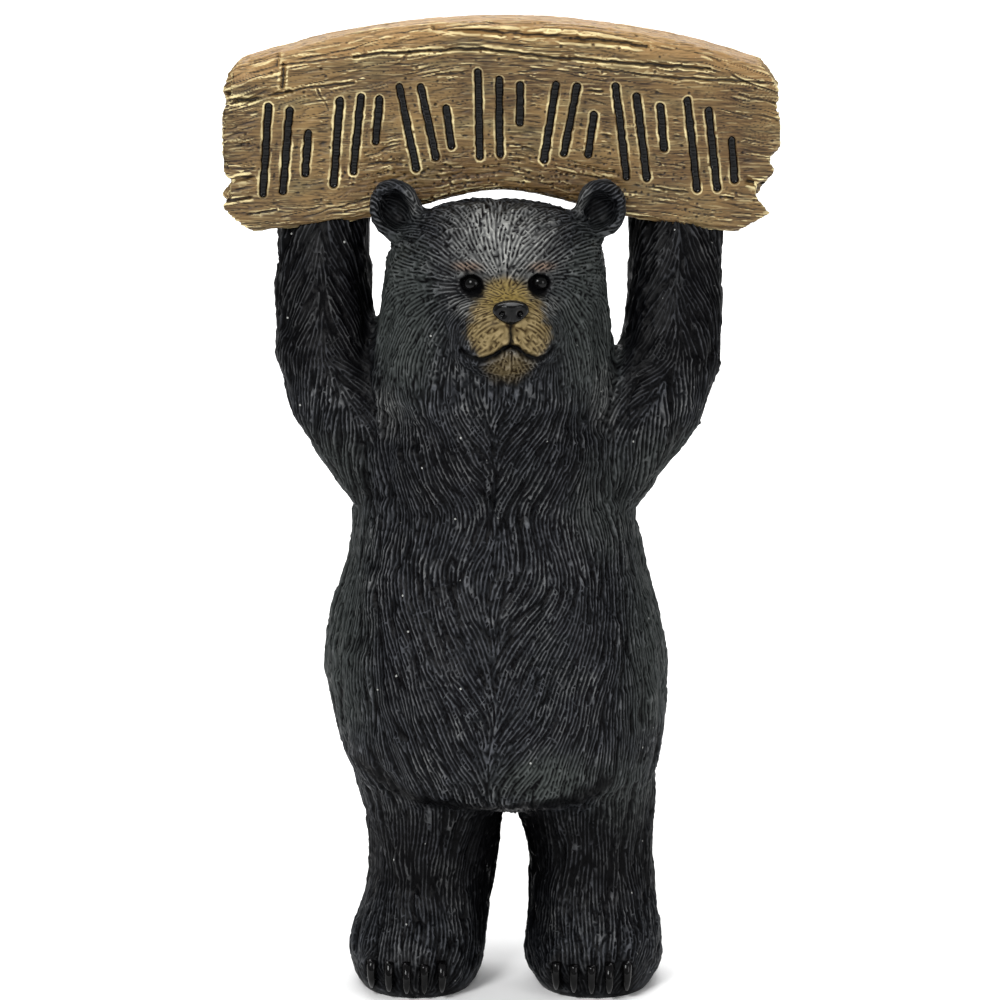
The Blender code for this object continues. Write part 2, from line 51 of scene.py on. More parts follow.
def fromHex(text):
    # sRGB hex to the linear values that shaders mix in
    parts = [int(text[k:k + 2], 16) / 255 for k in (1, 3, 5)]
    return tuple(p / 12.92 if p <= 0.04045 else ((p + 0.055) / 1.055) ** 2.4 for p in parts) + (1.0,)


def setInputs(tree, node, inputs):
    # each input takes a number, a hex colour or the output of another node
    for name, value in inputs.items():
        if isinstance(value, bpy.types.NodeSocket):
            tree.links.new(value, node.inputs[name])
        else:
            node.inputs[name].default_value = fromHex(value) if isinstance(value, str) else value


def addNode(tree, kind, settings=None, inputs=None):
    node = tree.nodes.new(kind)
    for name, value in (settings or {}).items():
        setattr(node, name, value)
    setInputs(tree, node, inputs or {})
    return node


def emptyMaterial(name):
    material = bpy.data.materials.new(name)
    material.use_nodes = True
    return material, material.node_tree, material.node_tree.nodes["Principled BSDF"]


def grainNoise(tree, size, stretch=(1, 1, 1), detail=2.0):
    # noise with spots of about this size in millimetres
    place = addNode(tree, "ShaderNodeTexCoord").outputs["Object"]
    scale = tuple(1000 / size / axis for axis in stretch)
    scaled = addNode(tree, "ShaderNodeMapping", inputs={"Vector": place, "Scale": scale}).outputs["Vector"]
    return addNode(tree, "ShaderNodeTexNoise", inputs={
        "Vector": scaled, "Scale": 1.0, "Detail": detail}).outputs["Fac"]


def shareOf(tree, *parts):
    # product of masks and noises; each gives its value, its low and high, and what these turn to
    total = None
    for value, low, high, *ends in parts:
        start, end = ends or (0, 1)
        part = addNode(tree, "ShaderNodeMapRange", inputs={
            "Value": value, "From Min": low, "From Max": high,
            "To Min": start, "To Max": end}).outputs["Result"]
        total = part if total is None else addNode(
            tree, "ShaderNodeMath", {"operation": "MULTIPLY"}, {0: total, 1: part}).outputs[0]
    return total


def coat(tree, under, over, *parts):
    # one coat of paint: the colour over, laid on the colour under by the share of its parts
    return addNode(tree, "ShaderNodeMix", {"data_type": "RGBA"}, {
        "Factor": shareOf(tree, *parts), 6: under, 7: over}).outputs[2]


def meshObject(name, shape):
    mesh = bpy.data.meshes.new(name)
    shape.to_mesh(mesh)
    shape.free()
    return linked(name, mesh)


def linked(name, mesh):
    item = bpy.data.objects.new(name, mesh)
    bpy.context.scene.collection.objects.link(item)
    return item


def settle(item):
    # the mesh with its modifiers applied; the working object goes
    graph = bpy.context.evaluated_depsgraph_get()
    mesh = bpy.data.meshes.new_from_object(item.evaluated_get(graph))
    bpy.data.objects.remove(item)
    return mesh


def changed(mesh, kind, **settings):
    item = linked("work", mesh)
    change = item.modifiers.new("change", kind)
    for name, value in settings.items():
        setattr(change, name, value)
    return settle(item)


def readPoints(mesh, field="co"):
    values = np.empty(len(mesh.vertices) * 3, dtype=np.float32)
    mesh.vertices.foreach_get(field, values)
    return values.reshape(-1, 3).astype(float)


def writePoints(mesh, points):
    mesh.vertices.foreach_set("co", points.astype(np.float32).ravel())
    mesh.update()


def readMask(mesh, name):
    values = np.empty(len(mesh.vertices), dtype=np.float32)
    mesh.attributes[name].data.foreach_get("value", values)
    return values.astype(float)


def writeMask(mesh, name, values):
    mask = mesh.attributes.get(name) or mesh.attributes.new(name, "FLOAT", "POINT")
    mask.data.foreach_set("value", np.clip(values, 0, 1).astype(np.float32))


def keptInside(mesh, node):
    # no point leaves the box of the solid it stands for
    points = readPoints(mesh)
    low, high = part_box(node)
    inside = np.clip(points, tuple(low), tuple(high))
    print(node, "trimmed to its box by", round(1000 * float(np.abs(points - inside).max()), 2), "mm")
    writePoints(mesh, inside)


def fade(values, start, end):
    share = np.clip((values - start) / (end - start), 0, 1)
    return share * share * (3 - 2 * share)


def unit(vectors):
    return vectors / np.maximum(np.linalg.norm(vectors, axis=1, keepdims=True), 1e-9)


def softNoise(points, size, seed):
    # smooth noise from -1 to 1 with lumps of about this size
    low = points.min(axis=0) - size
    counts = np.ceil((points.max(axis=0) - low) / size).astype(int) + 3
    grid = np.random.default_rng(seed).uniform(-1, 1, counts)
    spot = (points - low) / size
    cell = np.floor(spot).astype(int)
    part = spot - cell
    part = part * part * (3 - 2 * part)
    total = np.zeros(len(points))
    for corner in range(8):
        ahead = np.array([corner & 1, corner >> 1 & 1, corner >> 2 & 1])
        weight = np.prod(np.where(ahead, part, 1 - part), axis=1)
        total += weight * grid[tuple((cell + ahead).T)]
    return total


def bulge(mesh, rounds):
    # how far each point stands proud of its smoothed surroundings
    points, normals = readPoints(mesh), readPoints(mesh, "normal")
    ends = np.empty(len(mesh.edges) * 2, dtype=np.int32)
    mesh.edges.foreach_get("vertices", ends)
    first, second = ends.reshape(-1, 2).T
    count = len(points)
    near = np.bincount(first, minlength=count) + np.bincount(second, minlength=count)
    soft = points.copy()
    for k in range(rounds):
        total = [np.bincount(second, soft[first, axis], count) + np.bincount(first, soft[second, axis], count)
                 for axis in range(3)]
        soft = np.stack(total, axis=1) / np.maximum(near, 1)[:, None]
    return np.sum((points - soft) * normals, axis=1)


def rated(values, low, high):
    # 0 to 1 between two percentiles of the values
    return fade(values, *np.percentile(values, (low, high)))


def oval(flat, centre, half, soft=0.25, ruffle=0.0):
    # 1 inside an oval, fading out across its rim
    gap = np.linalg.norm((flat - np.array(centre)) / np.array(half), axis=1) + ruffle
    return 1 - fade(gap, 1 - soft, 1 + soft)


def specks(points, spacing, size, seed):
    # small round spots about scattered points
    low = points.min(axis=0) - 2 * spacing
    counts = np.ceil((points.max(axis=0) + 2 * spacing - low) / spacing).astype(int) + 1
    scatter = np.random.default_rng(seed).random((*counts, 3))
    spot = (points - low) / spacing
    corner = np.floor(spot - 0.5).astype(int)
    best = np.full(len(points), 1e9)
    for k in range(8):
        cell = corner + (k & 1, k >> 1 & 1, k >> 2 & 1)
        centre = cell + scatter[cell[:, 0], cell[:, 1], cell[:, 2]]
        best = np.minimum(best, np.sum((spot - centre) ** 2, axis=1) * spacing ** 2)
    return np.exp(-best / size ** 2)


def lineGap(points, line):
    # distance of points, across and up, from a line of straight runs
    best = np.full(len(points), 1e9)
    for start, end in zip(line, line[1:]):
        start, run = np.array(start), np.array(end) - np.array(start)
        share = np.clip(((points - start) @ run) / (run @ run), 0, 1)
        best = np.minimum(best, np.linalg.norm(points - start - share[:, None] * run, axis=1))
    return best


# The bear, laid out on a grid of 1 mm steps: x to the viewer's right, z up from the soles

bear = {
    "height": 0.335,                # metres, from the soles to the ear tips
    "gridSteps": 335,
    "headTurn": math.radians(5.3),
    "formCell": 1.6,                # cell of the skin that fuses the forms
    "formBlend": 10,                # rounds of smoothing where forms meet
    "skinCell": 1.18,               # cell of the skin that is carved
    "triangles": 182000,
    "boardGap": 0.0003,             # metres, between ears and board

    "earBack": 9.2,
    "armAxis": 72.8,
    "eyeSpread": 13.7,
    "eyeLevel": 298.3,
    "eyeFront": -42.0,
    "eyeRadius": 3.7,
    "socketHalf": (5.2, 4.8),
    "noseLevel": 291.7,
    "noseFront": -64.5,
    "mouthLine": ((-18.5, 273.4), (-16, 271.4), (-11.5, 270.4), (-6.5, 272.9), (-2.5, 276.4), (0, 277.2),
                  (2.5, 276.4), (6.5, 272.9), (11.5, 270.4), (16, 271.6), (18.5, 274.2)),
    "lipGroove": ((0, 277.4), (0, 287.4)),
    "bellyFold": ((-57, 98), (-42, 88), (-23, 83), (-5, 81.5), (10, 82), (34, 87), (44, 93)),
    "feet": ((-38.5, -52.5), (37.8, -54.0)),    # middle and front of the toes
    "toeCount": 5,
    "toeSpread": 14.5,
    "clawTop": 15.0,
    "clawTip": 2.6,
    "clawRadius": 2.25,

    # locks of fur: spacing, length, depth, samples along a lock, seed
    "tufts": (13.0, 30.0, 1.5, 8, 5),
    "locks": (7.5, 22.0, 0.8, 9, 8),
    "bodyPitch": 1.65,              # from strand to strand
    "backPitch": 2.7,
    "headPitch": 1.5,
    "clumpPitch": 3.6,              # strands to a clump
    "clumpDepth": 1.25,
    "strandDepth": 0.78,
    "headDepth": 0.50,
    "combRounds": 130,
    "refineRounds": 14,
    "sway": math.radians(15),       # how far the strands wander from their line
    "swaySize": 17.0,

    # painted ovals seen from the front: middle, half sizes, softness of the rim
    "muzzle": (((0, 281), (16.2, 11.5), 0.12), ((0, 289), (15, 6.5), 0.12), ((0, 293.5), (9, 8), 0.12)),
    "chin": (((0, 267), (8, 7), 0.6),),
    "bridge": (((0, 295), (10, 5), 0.7),),
    "brows": (((-15, 305.7), (5.2, 1.9), 0.6), ((15, 305.5), (5.2, 1.9), 0.6)),
    "forehead": (((0, 315), (18, 17), 0.8),),
    "cheekbones": (((-17, 290), (5, 3), 0.6), ((17, 290.5), (5, 3), 0.6)),
    "cheeks": (((-41, 283), (15, 32), 0.5), ((38, 283), (15, 32), 0.5)),
    "earRoots": (((-35, 329), (4, 7), 0.5), ((33, 329), (4, 7), 0.5)),
    "earHollows": (((-43.5, 323), (6.5, 8.5), 0.25), ((41.5, 323), (6.5, 8.5), 0.25)),
    "shoulders": (((-46, 243), (5, 9), 0.6), ((43, 247), (5, 12), 0.6)),
    "waist": (((46, 207), (14, 20), 0.7),),
    "belly": (((19, 97), (19, 11), 0.6),),
    "thigh": (((52, 84), (12, 18), 0.6),),

    # this black is also laid over the deep mask, mostly as painted shade
    "coat": "#020203",              # airbrushed black that stays in the grooves
    "tanGroove": "#2a1e0f",
    # dry-brushed over the crests, and thinner on the flanks
    "fur": ("#5a5c61", "#1c1e21"),
    # slate is partly painted sheen on flanks and cheeks, silver partly painted highlight on forehead, ear
    # roots and shoulders
    "slate": ("#525654", "#363a38"),
    "silver": ("#c8c8c2", "#5a5b5a"),
    "tan": ("#ae9a6e", "#6f6040"),
    "ochre": ("#9b8748", "#66562a"),
    "rose": ("#a98b74", "#4c4038"),
    "dust": "#a6a7a3",
    "enamel": ("#030303", "#0b0b0c"),
}
step = bear["height"] / bear["gridSteps"]

boardLow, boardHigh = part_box("sign_board")
boardThickness = boardHigh.y - boardLow.y
frontLine = bear["earBack"] * step + bear["boardGap"]
backLine = (frontLine + boardThickness) / step
toWorld = Vector((0, boardHigh.y - frontLine - boardThickness, 0))


def rounded(angle, power=2.2):
    across, along = math.cos(angle), math.sin(angle)
    return (math.copysign(abs(across) ** (2 / power), across),
            math.copysign(abs(along) ** (2 / power), along))


def levelRing(height, centre, halfWidth, front, back, middle=0.0, sides=40):
    points = []
    for k in range(sides):
        across, along = rounded(2 * math.pi * k / sides)
        depth = (back - middle) if along > 0 else (middle - front)
        points.append(Vector((centre + halfWidth * across, middle + depth * along, height)))
    return points


def limbRing(centre, ahead, wide, deep, sides=28):
    out = Vector((0, 1, 0)).cross(ahead).normalized()
    up = ahead.cross(out).normalized()
    points = []
    for k in range(sides):
        across, along = rounded(2 * math.pi * k / sides)
        points.append(centre + out * (wide * across) + up * (deep * along))
    return points


def addLoft(shape, rings):
    levels = [[shape.verts.new(point) for point in ring] for ring in rings]
    for lower, upper in zip(levels, levels[1:]):
        for k in range(len(lower)):
            n = (k + 1) % len(lower)
            shape.faces.new((lower[k], lower[n], upper[n], upper[k]))
    shape.faces.new(list(reversed(levels[0])))
    shape.faces.new(levels[-1])


def addBall(shape, centre, radii, turn=None, segments=20):
    matrix = Matrix.Translation(centre) @ (turn or Matrix()) @ Matrix.Diagonal((*radii, 1))
    return bmesh.ops.create_uvsphere(shape, u_segments=segments, v_segments=segments // 2, radius=1,
                                     matrix=matrix)["verts"]


def limbRings(path, sides=28):
    rings = []
    for k, (centre, wide, deep) in enumerate(path):
        before, after = path[max(k - 1, 0)][0], path[min(k + 1, len(path) - 1)][0]
        rings.append(limbRing(centre, (after - before).normalized(), wide, deep, sides))
    return rings


def addTorso(shape):
    # height, centre, half width, front, back
    rows = [
        (75, 3.4, 34, -24, 26), (78, 3.4, 49, -42, 36), (82, 3, 58.5, -54, 43), (88, 2, 63.5, -62, 47),
        (98, 0.5, 66.8, -66.5, 50), (113, 0, 69, -67.5, 51), (128, -1.4, 70.8, -65.5, 51),
        (143, -2, 70.4, -61, 50), (158, -2.4, 67.2, -56, 48), (179, -1.8, 60.8, -49, 45),
        (199, -2.6, 58, -46.5, 43), (215, -3, 55, -46.5, 41), (230, -3.4, 53, -46, 38),
        (244, -3.5, 48, -42, 34), (256, -3, 34, -26, 24),
    ]
    addLoft(shape, [levelRing(*row) for row in rows])


def addLegs(shape):
    # height, left centre, right centre, half width, front, back, widest line
    rows = [
        (-3, -34.6, 39, 21, -44, 22, -14), (3, -34.6, 39, 25.5, -50, 28, -14),
        (10, -34.6, 39, 28, -52.5, 31, -14), (17, -34.3, 39, 28.2, -51, 31, -12),
        (24, -33, 39, 27.6, -46.5, 30, -8), (33, -30.5, 38.7, 26.6, -39, 29, -3),
        (47, -28.2, 38.4, 26.2, -34, 29, 0), (60, -27.6, 37, 27.2, -35, 31, 0),
        (72, -28, 35.2, 29.2, -39, 34, 0), (84, -29, 33.2, 31.2, -44, 37, 0),
        (97, -29, 31, 32, -42, 37, 0), (112, -24, 26, 20, -26, 24, 0),
    ]
    for side in (1, 2):
        addLoft(shape, [levelRing(row[0], row[side], *row[3:7], sides=32) for row in rows])


def toePlace(centre, front, k):
    half = (bear["toeCount"] - 1) / 2
    spread = (k - half) / half
    place = Vector((centre + bear["toeSpread"] * spread, front + 8 + 4.5 * spread ** 2, 13))
    return place, math.radians(16) * spread


def addToes(shape):
    for centre, front in bear["feet"]:
        for k in range(bear["toeCount"]):
            place, lean = toePlace(centre, front, k)
            addBall(shape, place, (4.6, 8.0, 6.6), Matrix.Rotation(lean, 4, "Z"), 16)


def armPath(side):
    # raised arm from inside the shoulder to the finger tips behind the board
    inward = 4.5 if side > 0 else 0
    axis = bear["armAxis"]
    return [
        (Vector((side * (22 - inward), 0, 194)), 19, 27),
        (Vector((side * (37 - inward), 0, 209)), 24.5, 28),
        (Vector((side * (51 - 0.8 * inward), 2, 226)), 24, 26.5),
        (Vector((side * (64.5 - 0.3 * inward), 6, 244)), 23, 24),
        (Vector((side * (71.5 - 0.1 * inward), 12, 262)), 21.5, 22),
        (Vector((side * axis, 18, 282)), 20, 20.5),
        (Vector((side * axis, 25, 300)), 19.2, 19),
        (Vector((side * axis, backLine - 4, 316)), 19.4, 17.5),
        (Vector((side * (axis - 0.5), backLine + 6, 330)), 20.5, 14.5),
        (Vector((side * (axis - 1), backLine + 7, 344)), 20, 12.5),
        (Vector((side * (axis - 1), backLine + 6.5, 353)), 15, 10),
        (Vector((side * (axis - 1), backLine + 6, 358)), 8, 6),
    ]


def fingerPlace(side, k):
    half = (bear["toeCount"] - 1) / 2
    spread = (k - half) / half
    tip = Vector((side * (bear["armAxis"] - 1) + 15 * spread, backLine + 5.5, 352 - 5 * spread ** 2))
    return tip, spread


def addArms(shape):
    for side in (-1, 1):
        addLoft(shape, limbRings(armPath(side)))
        for k in range(bear["toeCount"]):
            place, spread = fingerPlace(side, k)
            addBall(shape, place, (4.6, 5.5, 8.5), Matrix.Rotation(math.radians(14) * spread, 4, "Y"), 16)


def headFrame():
    # from the head's own frame, facing straight ahead, to the figure's
    return Matrix.Translation((-1.5, 0, 0)) @ Matrix.Rotation(bear["headTurn"], 4, "Z")


def addHead(shape):
    # height, centre, half width, front, back
    rows = [
        (226, -3.5, 40, -34, 28), (236, -3.5, 48, -42.5, 34), (247, -3.5, 50.5, -44, 35),
        (257, -3.3, 50.3, -43.5, 34), (267, -3, 49, -43.5, 34), (277, -2.5, 47.8, -43, 33),
        (287, -2, 46.8, -42.5, 32), (298, -1.5, 45.6, -41.5, 30), (306, -1.4, 44.4, -38.5, 26),
        (313, -1.2, 41, -34, 21), (319.5, -1, 34.5, -27, 14), (325, -1, 24, -17, 6), (327.5, -1, 10, -8, 0),
    ]
    addLoft(shape, [levelRing(*row) for row in rows])
    # depth, middle height, half width, reach up, reach down
    snout = [
        (-26, 281.5, 28, 19, 25), (-38, 281.5, 25.5, 18, 23.5), (-45, 281, 22.5, 16.2, 21),
        (-50.5, 280.6, 20, 14.2, 18), (-55.5, 280.5, 17.6, 12.6, 14.5), (-59.5, 281.3, 15, 11.2, 11),
        (-62.5, 282.8, 11, 8.5, 7.5), (-64.5, 284.3, 5.5, 5, 4),
    ]
    rings = []
    for depth, middle, wide, up, down in snout:
        ring = []
        for k in range(28):
            across, along = rounded(2 * math.pi * k / 28)
            ring.append(Vector((wide * across, depth, middle + (up if along > 0 else down) * along)))
        rings.append([headFrame() @ point for point in reversed(ring)])
    addLoft(shape, rings)


def addEars(shape):
    back = bear["earBack"]
    # depth, share of the outline, drop towards the head
    rows = [
        (back, 0.42, -3), (back - 1.2, 0.78, -1.5), (back - 4, 0.98, 0), (back - 8, 1.04, 0),
        (back - 12, 1.0, 0), (back - 14.5, 0.9, 0), (back - 14.8, 0.78, 0), (back - 12, 0.66, 0),
        (back - 8, 0.56, -0.5), (back - 6, 0.3, -1),
    ]
    for side, centre in ((-1, -43.1), (1, 41.0)):
        rings = []
        for depth, share, drop in rows:
            ring = []
            for k in range(24):
                across, along = rounded(2 * math.pi * k / 24, 2.05)
                offset = Vector((10.3 * share * across, 0, 12.4 * share * along + drop))
                offset.rotate(Euler((0, math.radians(14) * side, 0)))
                ring.append(Vector((centre, depth, 322.6)) + offset)
            rings.append(ring)
        addLoft(shape, rings)


def bodyForm():
    # all fleshy forms, fused into one skin and blended where they meet
    shape = bmesh.new()
    for add in (addTorso, addLegs, addToes, addArms, addHead, addEars):
        add(shape)
    bmesh.ops.recalc_face_normals(shape, faces=shape.faces[:])
    skin = meshObject("form", shape)
    fuse = skin.modifiers.new("fuse", "REMESH")
    fuse.mode = "VOXEL"
    fuse.voxel_size = bear["formCell"]
    blend = skin.modifiers.new("blend", "SMOOTH")
    blend.factor = 0.5
    blend.iterations = bear["formBlend"]
    return settle(skin)


# Fur: which way it lies, and the locks and strands carved along it

def facePoints(points):
    back = np.array(headFrame().inverted())
    return points @ back[:3, :3].T + back[:3, 3]


def mixed(flow, other, share):
    return flow * (1 - share)[:, None] + other * share[:, None]


def furFlow(points, normals):
    # from root to tip, along the surface
    x, y, z = points.T
    nought, one = np.zeros_like(x), np.ones_like(x)
    front = fade(-y, -8, 12)
    seam = x + 3.2 + 1.5 * np.sin(z / 13) + 0.9 * np.sin(z / 5.7 + 2)
    side = np.tanh(seam / 4)
    # chest: a V towards the seam; waist: a flare; belly: towards the seam again
    lean = 0.78 * fade(z, 196, 214) - 0.36 * fade(z, 174, 190) * (1 - fade(z, 194, 210))
    lean = lean + 0.62 * (1 - fade(z, 160, 186)) * fade(z, 84, 100)
    inward = -side * lean * np.exp(-(seam / 44) ** 2) * front
    flow = np.stack([inward, nought, -one], axis=1)

    # Raised arms: down the arm, and away from its middle line
    for hand in (-1, 1):
        axis = hand * bear["armAxis"]
        shoulder = np.array([hand * 37, 0, 209])
        elbow = np.array([hand * 71, 12, 262])
        wrist = np.array([axis, 40, 345])
        ahead = np.where((z > 262)[:, None], unit((wrist - elbow)[None]), unit((elbow - shoulder)[None]))
        middle = np.where(z > 262, axis, hand * (37 + 34 * (z - 209) / 53))
        away = np.tanh((x - middle) / 5) * 0.62
        armFlow = -ahead + np.stack([away, nought, nought], axis=1)
        flow = mixed(flow, armFlow, fade(hand * x, 46, 60) * fade(z, 212, 232))

    # Head: up and out from the bridge of the nose, down and round the cheeks
    local = facePoints(points)
    across, rise = local[:, 0], local[:, 2] - 293
    ray = unit(np.stack([across, nought, rise], axis=1))
    cheek = 1 - fade(rise, -20, 12)
    down = np.stack([-np.tanh(across / 14) * 0.5 * fade(-rise, 12, 34), nought, -one], axis=1)
    headFlow = mixed(ray, unit(0.45 * ray + down), cheek)
    headFlow[:, 1] = 0.25
    flow = mixed(flow, headFlow, fade(z, 238, 258) * (1 - fade(np.abs(x), 50, 57)))

    # Muzzle: outward from the nose and the groove below it
    muzzle = fade(-local[:, 1], 44, 52) * fade(z, 255, 264)
    ray = unit(np.stack([across, 0.25 * one, local[:, 2] - 285 - 0.45 * np.abs(across)], axis=1))
    flow = mixed(flow, ray, muzzle)

    # Feet: over the instep to the toes
    share = (1 - fade(z, 18, 44)) * front
    flow[:, 1] -= 0.8 * share

    turn = bear["sway"] * (softNoise(points, bear["swaySize"], 3) + 0.55 * softNoise(points, 7.0, 4))
    flow = unit(flow - normals * np.sum(flow * normals, axis=1, keepdims=True))
    across = np.cross(normals, flow)
    return unit(flow * np.cos(turn)[:, None] + across * np.sin(turn)[:, None])


def lockHeight(points, flow, spacing, length, samples, seed):
    # tapering locks from scattered roots down the flow: 0 between them, 1 on their tops
    reach = spacing * 0.5
    low = points.min(axis=0) - length - 2 * spacing
    counts = np.ceil((points.max(axis=0) + length + 2 * spacing - low) / spacing).astype(int) + 1
    scatter = np.random.default_rng(seed).random((*counts, 3))
    best = np.zeros(len(points))
    for k in range(samples):
        share = k / (samples - 1)
        radius = reach * math.sqrt(max(1 - share, 0.02)) * (0.75 + 0.25 * min(share * 4, 1))
        spot = (points - flow * (share * length) - low) / spacing
        corner = np.floor(spot - 0.5).astype(int)
        for dx in (0, 1):
            for dy in (0, 1):
                for dz in (0, 1):
                    cell = corner + (dx, dy, dz)
                    root = cell + scatter[cell[:, 0], cell[:, 1], cell[:, 2]]
                    gap = np.sum((spot - root) ** 2, axis=1) * spacing ** 2
                    best = np.maximum(best, (1 - gap / radius ** 2) * (1 - 0.35 * share))
    return best


def combed(mesh, across, flow, pitch, rounds, start=None):
    # stripes across the flow: neighbours agree on their phase, more so along a strand
    points = readPoints(mesh)
    ends = np.empty(len(mesh.edges) * 2, dtype=np.int32)
    mesh.edges.foreach_get("vertices", ends)
    first, second = ends.reshape(-1, 2).T
    run = points[second] - points[first]
    rate = 4 * math.pi / (pitch[first] + pitch[second])
    turn = np.exp(0.5j * rate * np.sum(run * (across[first] + across[second]), axis=1))
    along = np.sum(unit(run) * unit(flow[first] + flow[second]), axis=1) ** 2
    weight = 0.10 + along
    ahead, back = turn * weight, turn.conj() * weight
    count = len(points)
    wave = np.exp(2j * math.pi * np.random.default_rng(11).random(count)) if start is None else start
    for k in range(rounds):
        on, off = wave[first] * ahead, wave[second] * back
        real = np.bincount(second, on.real, count) + np.bincount(first, off.real, count)
        imaginary = np.bincount(second, on.imag, count) + np.bincount(first, off.imag, count)
        total = 0.3 * wave + real + 1j * imaginary
        wave = total / np.maximum(np.abs(total), 1e-9)
    return wave


def strandHeight(wave):
    # rounded ridges with narrow grooves between them
    return 1 - (np.abs(np.angle(wave)) / math.pi) ** 2.2


def bareShare(points):
    # 1 where the big locks stay away: muzzle tip, eyes, ear hollows and soles
    local = facePoints(points)
    muzzle = fade(-local[:, 1], 44, 54) * fade(points[:, 2], 255, 265)
    eyes = np.zeros(len(points))
    for side in (-1, 1):
        gap = np.linalg.norm(local[:, [0, 2]] - (side * bear["eyeSpread"], bear["eyeLevel"]), axis=1)
        eyes = np.maximum(eyes, (1 - fade(gap, 6, 11)) * fade(-local[:, 1], 20, 26))
    ears = fade(points[:, 2], 312, 318) * fade(np.abs(points[:, 0]), 30, 35)
    soles = 1 - fade(points[:, 2], 1, 8)
    return np.maximum.reduce([muzzle, eyes, 0.6 * ears, soles])


def modelFace(points):
    # brows, eye sockets with lids, cheeks, mouth and the groove under the nose
    local = facePoints(points)
    front = fade(-local[:, 1], 22, 30) * fade(local[:, 2], 250, 258)
    flat = local[:, [0, 2]]
    push = np.zeros(len(points))
    for side in (-1, 1):
        eye = (side * bear["eyeSpread"], bear["eyeLevel"])
        gap = np.linalg.norm((flat - eye) / (1.15, 1), axis=1)
        push += 2.6 * np.exp(-(gap / 5.8) ** 2)
        push -= 1.7 * np.exp(-((gap - bear["eyeRadius"] - 0.9) / 0.8) ** 2)
        brow = (side * (bear["eyeSpread"] - 0.5), bear["eyeLevel"] + 8.5)
        gap = np.linalg.norm((flat - brow) / (1.9, 1), axis=1)
        push -= 2.6 * np.exp(-(gap / 4.4) ** 2)
        gap = np.linalg.norm((flat - (side * 29, 276)) / (1, 1.3), axis=1)
        push -= 2.4 * np.exp(-(gap / 11) ** 2)
        gap = np.linalg.norm(flat - (side * 9, 281), axis=1)
        push -= 1.2 * np.exp(-(gap / 6) ** 2)
    mouth = lineGap(flat, bear["mouthLine"])
    push += 2.8 * np.exp(-(mouth / 1.25) ** 2) - 0.5 * np.exp(-((mouth - 2.6) / 0.9) ** 2)
    push += 1.7 * np.exp(-lineGap(flat, bear["lipGroove"]) ** 2)
    ahead = np.array(headFrame().to_3x3() @ Vector((0, 1, 0)))
    return points + ahead * (push * front)[:, None]


def headShare(points):
    return fade(points[:, 2], 240, 256) * (1 - fade(np.abs(points[:, 0]), 50, 56))


def strandPitch(points):
    pitch = bear["bodyPitch"] + (bear["backPitch"] - bear["bodyPitch"]) * fade(points[:, 1], 5, 25)
    share = headShare(points) * (1 - fade(points[:, 1], 5, 25))
    pitch = pitch + (bear["headPitch"] - pitch) * share
    return pitch * (1 + 0.16 * softNoise(points, 9.0, 14))


def lay(mesh):
    points, normals = readPoints(mesh), readPoints(mesh, "normal")
    flow = furFlow(points, normals)
    return points, normals, flow, np.cross(normals, flow)


def spots(flat, name, ruffle=0.0):
    # 1 within the painted ovals of this name
    return np.maximum.reduce([oval(flat, *place, ruffle) for place in bear[name]])


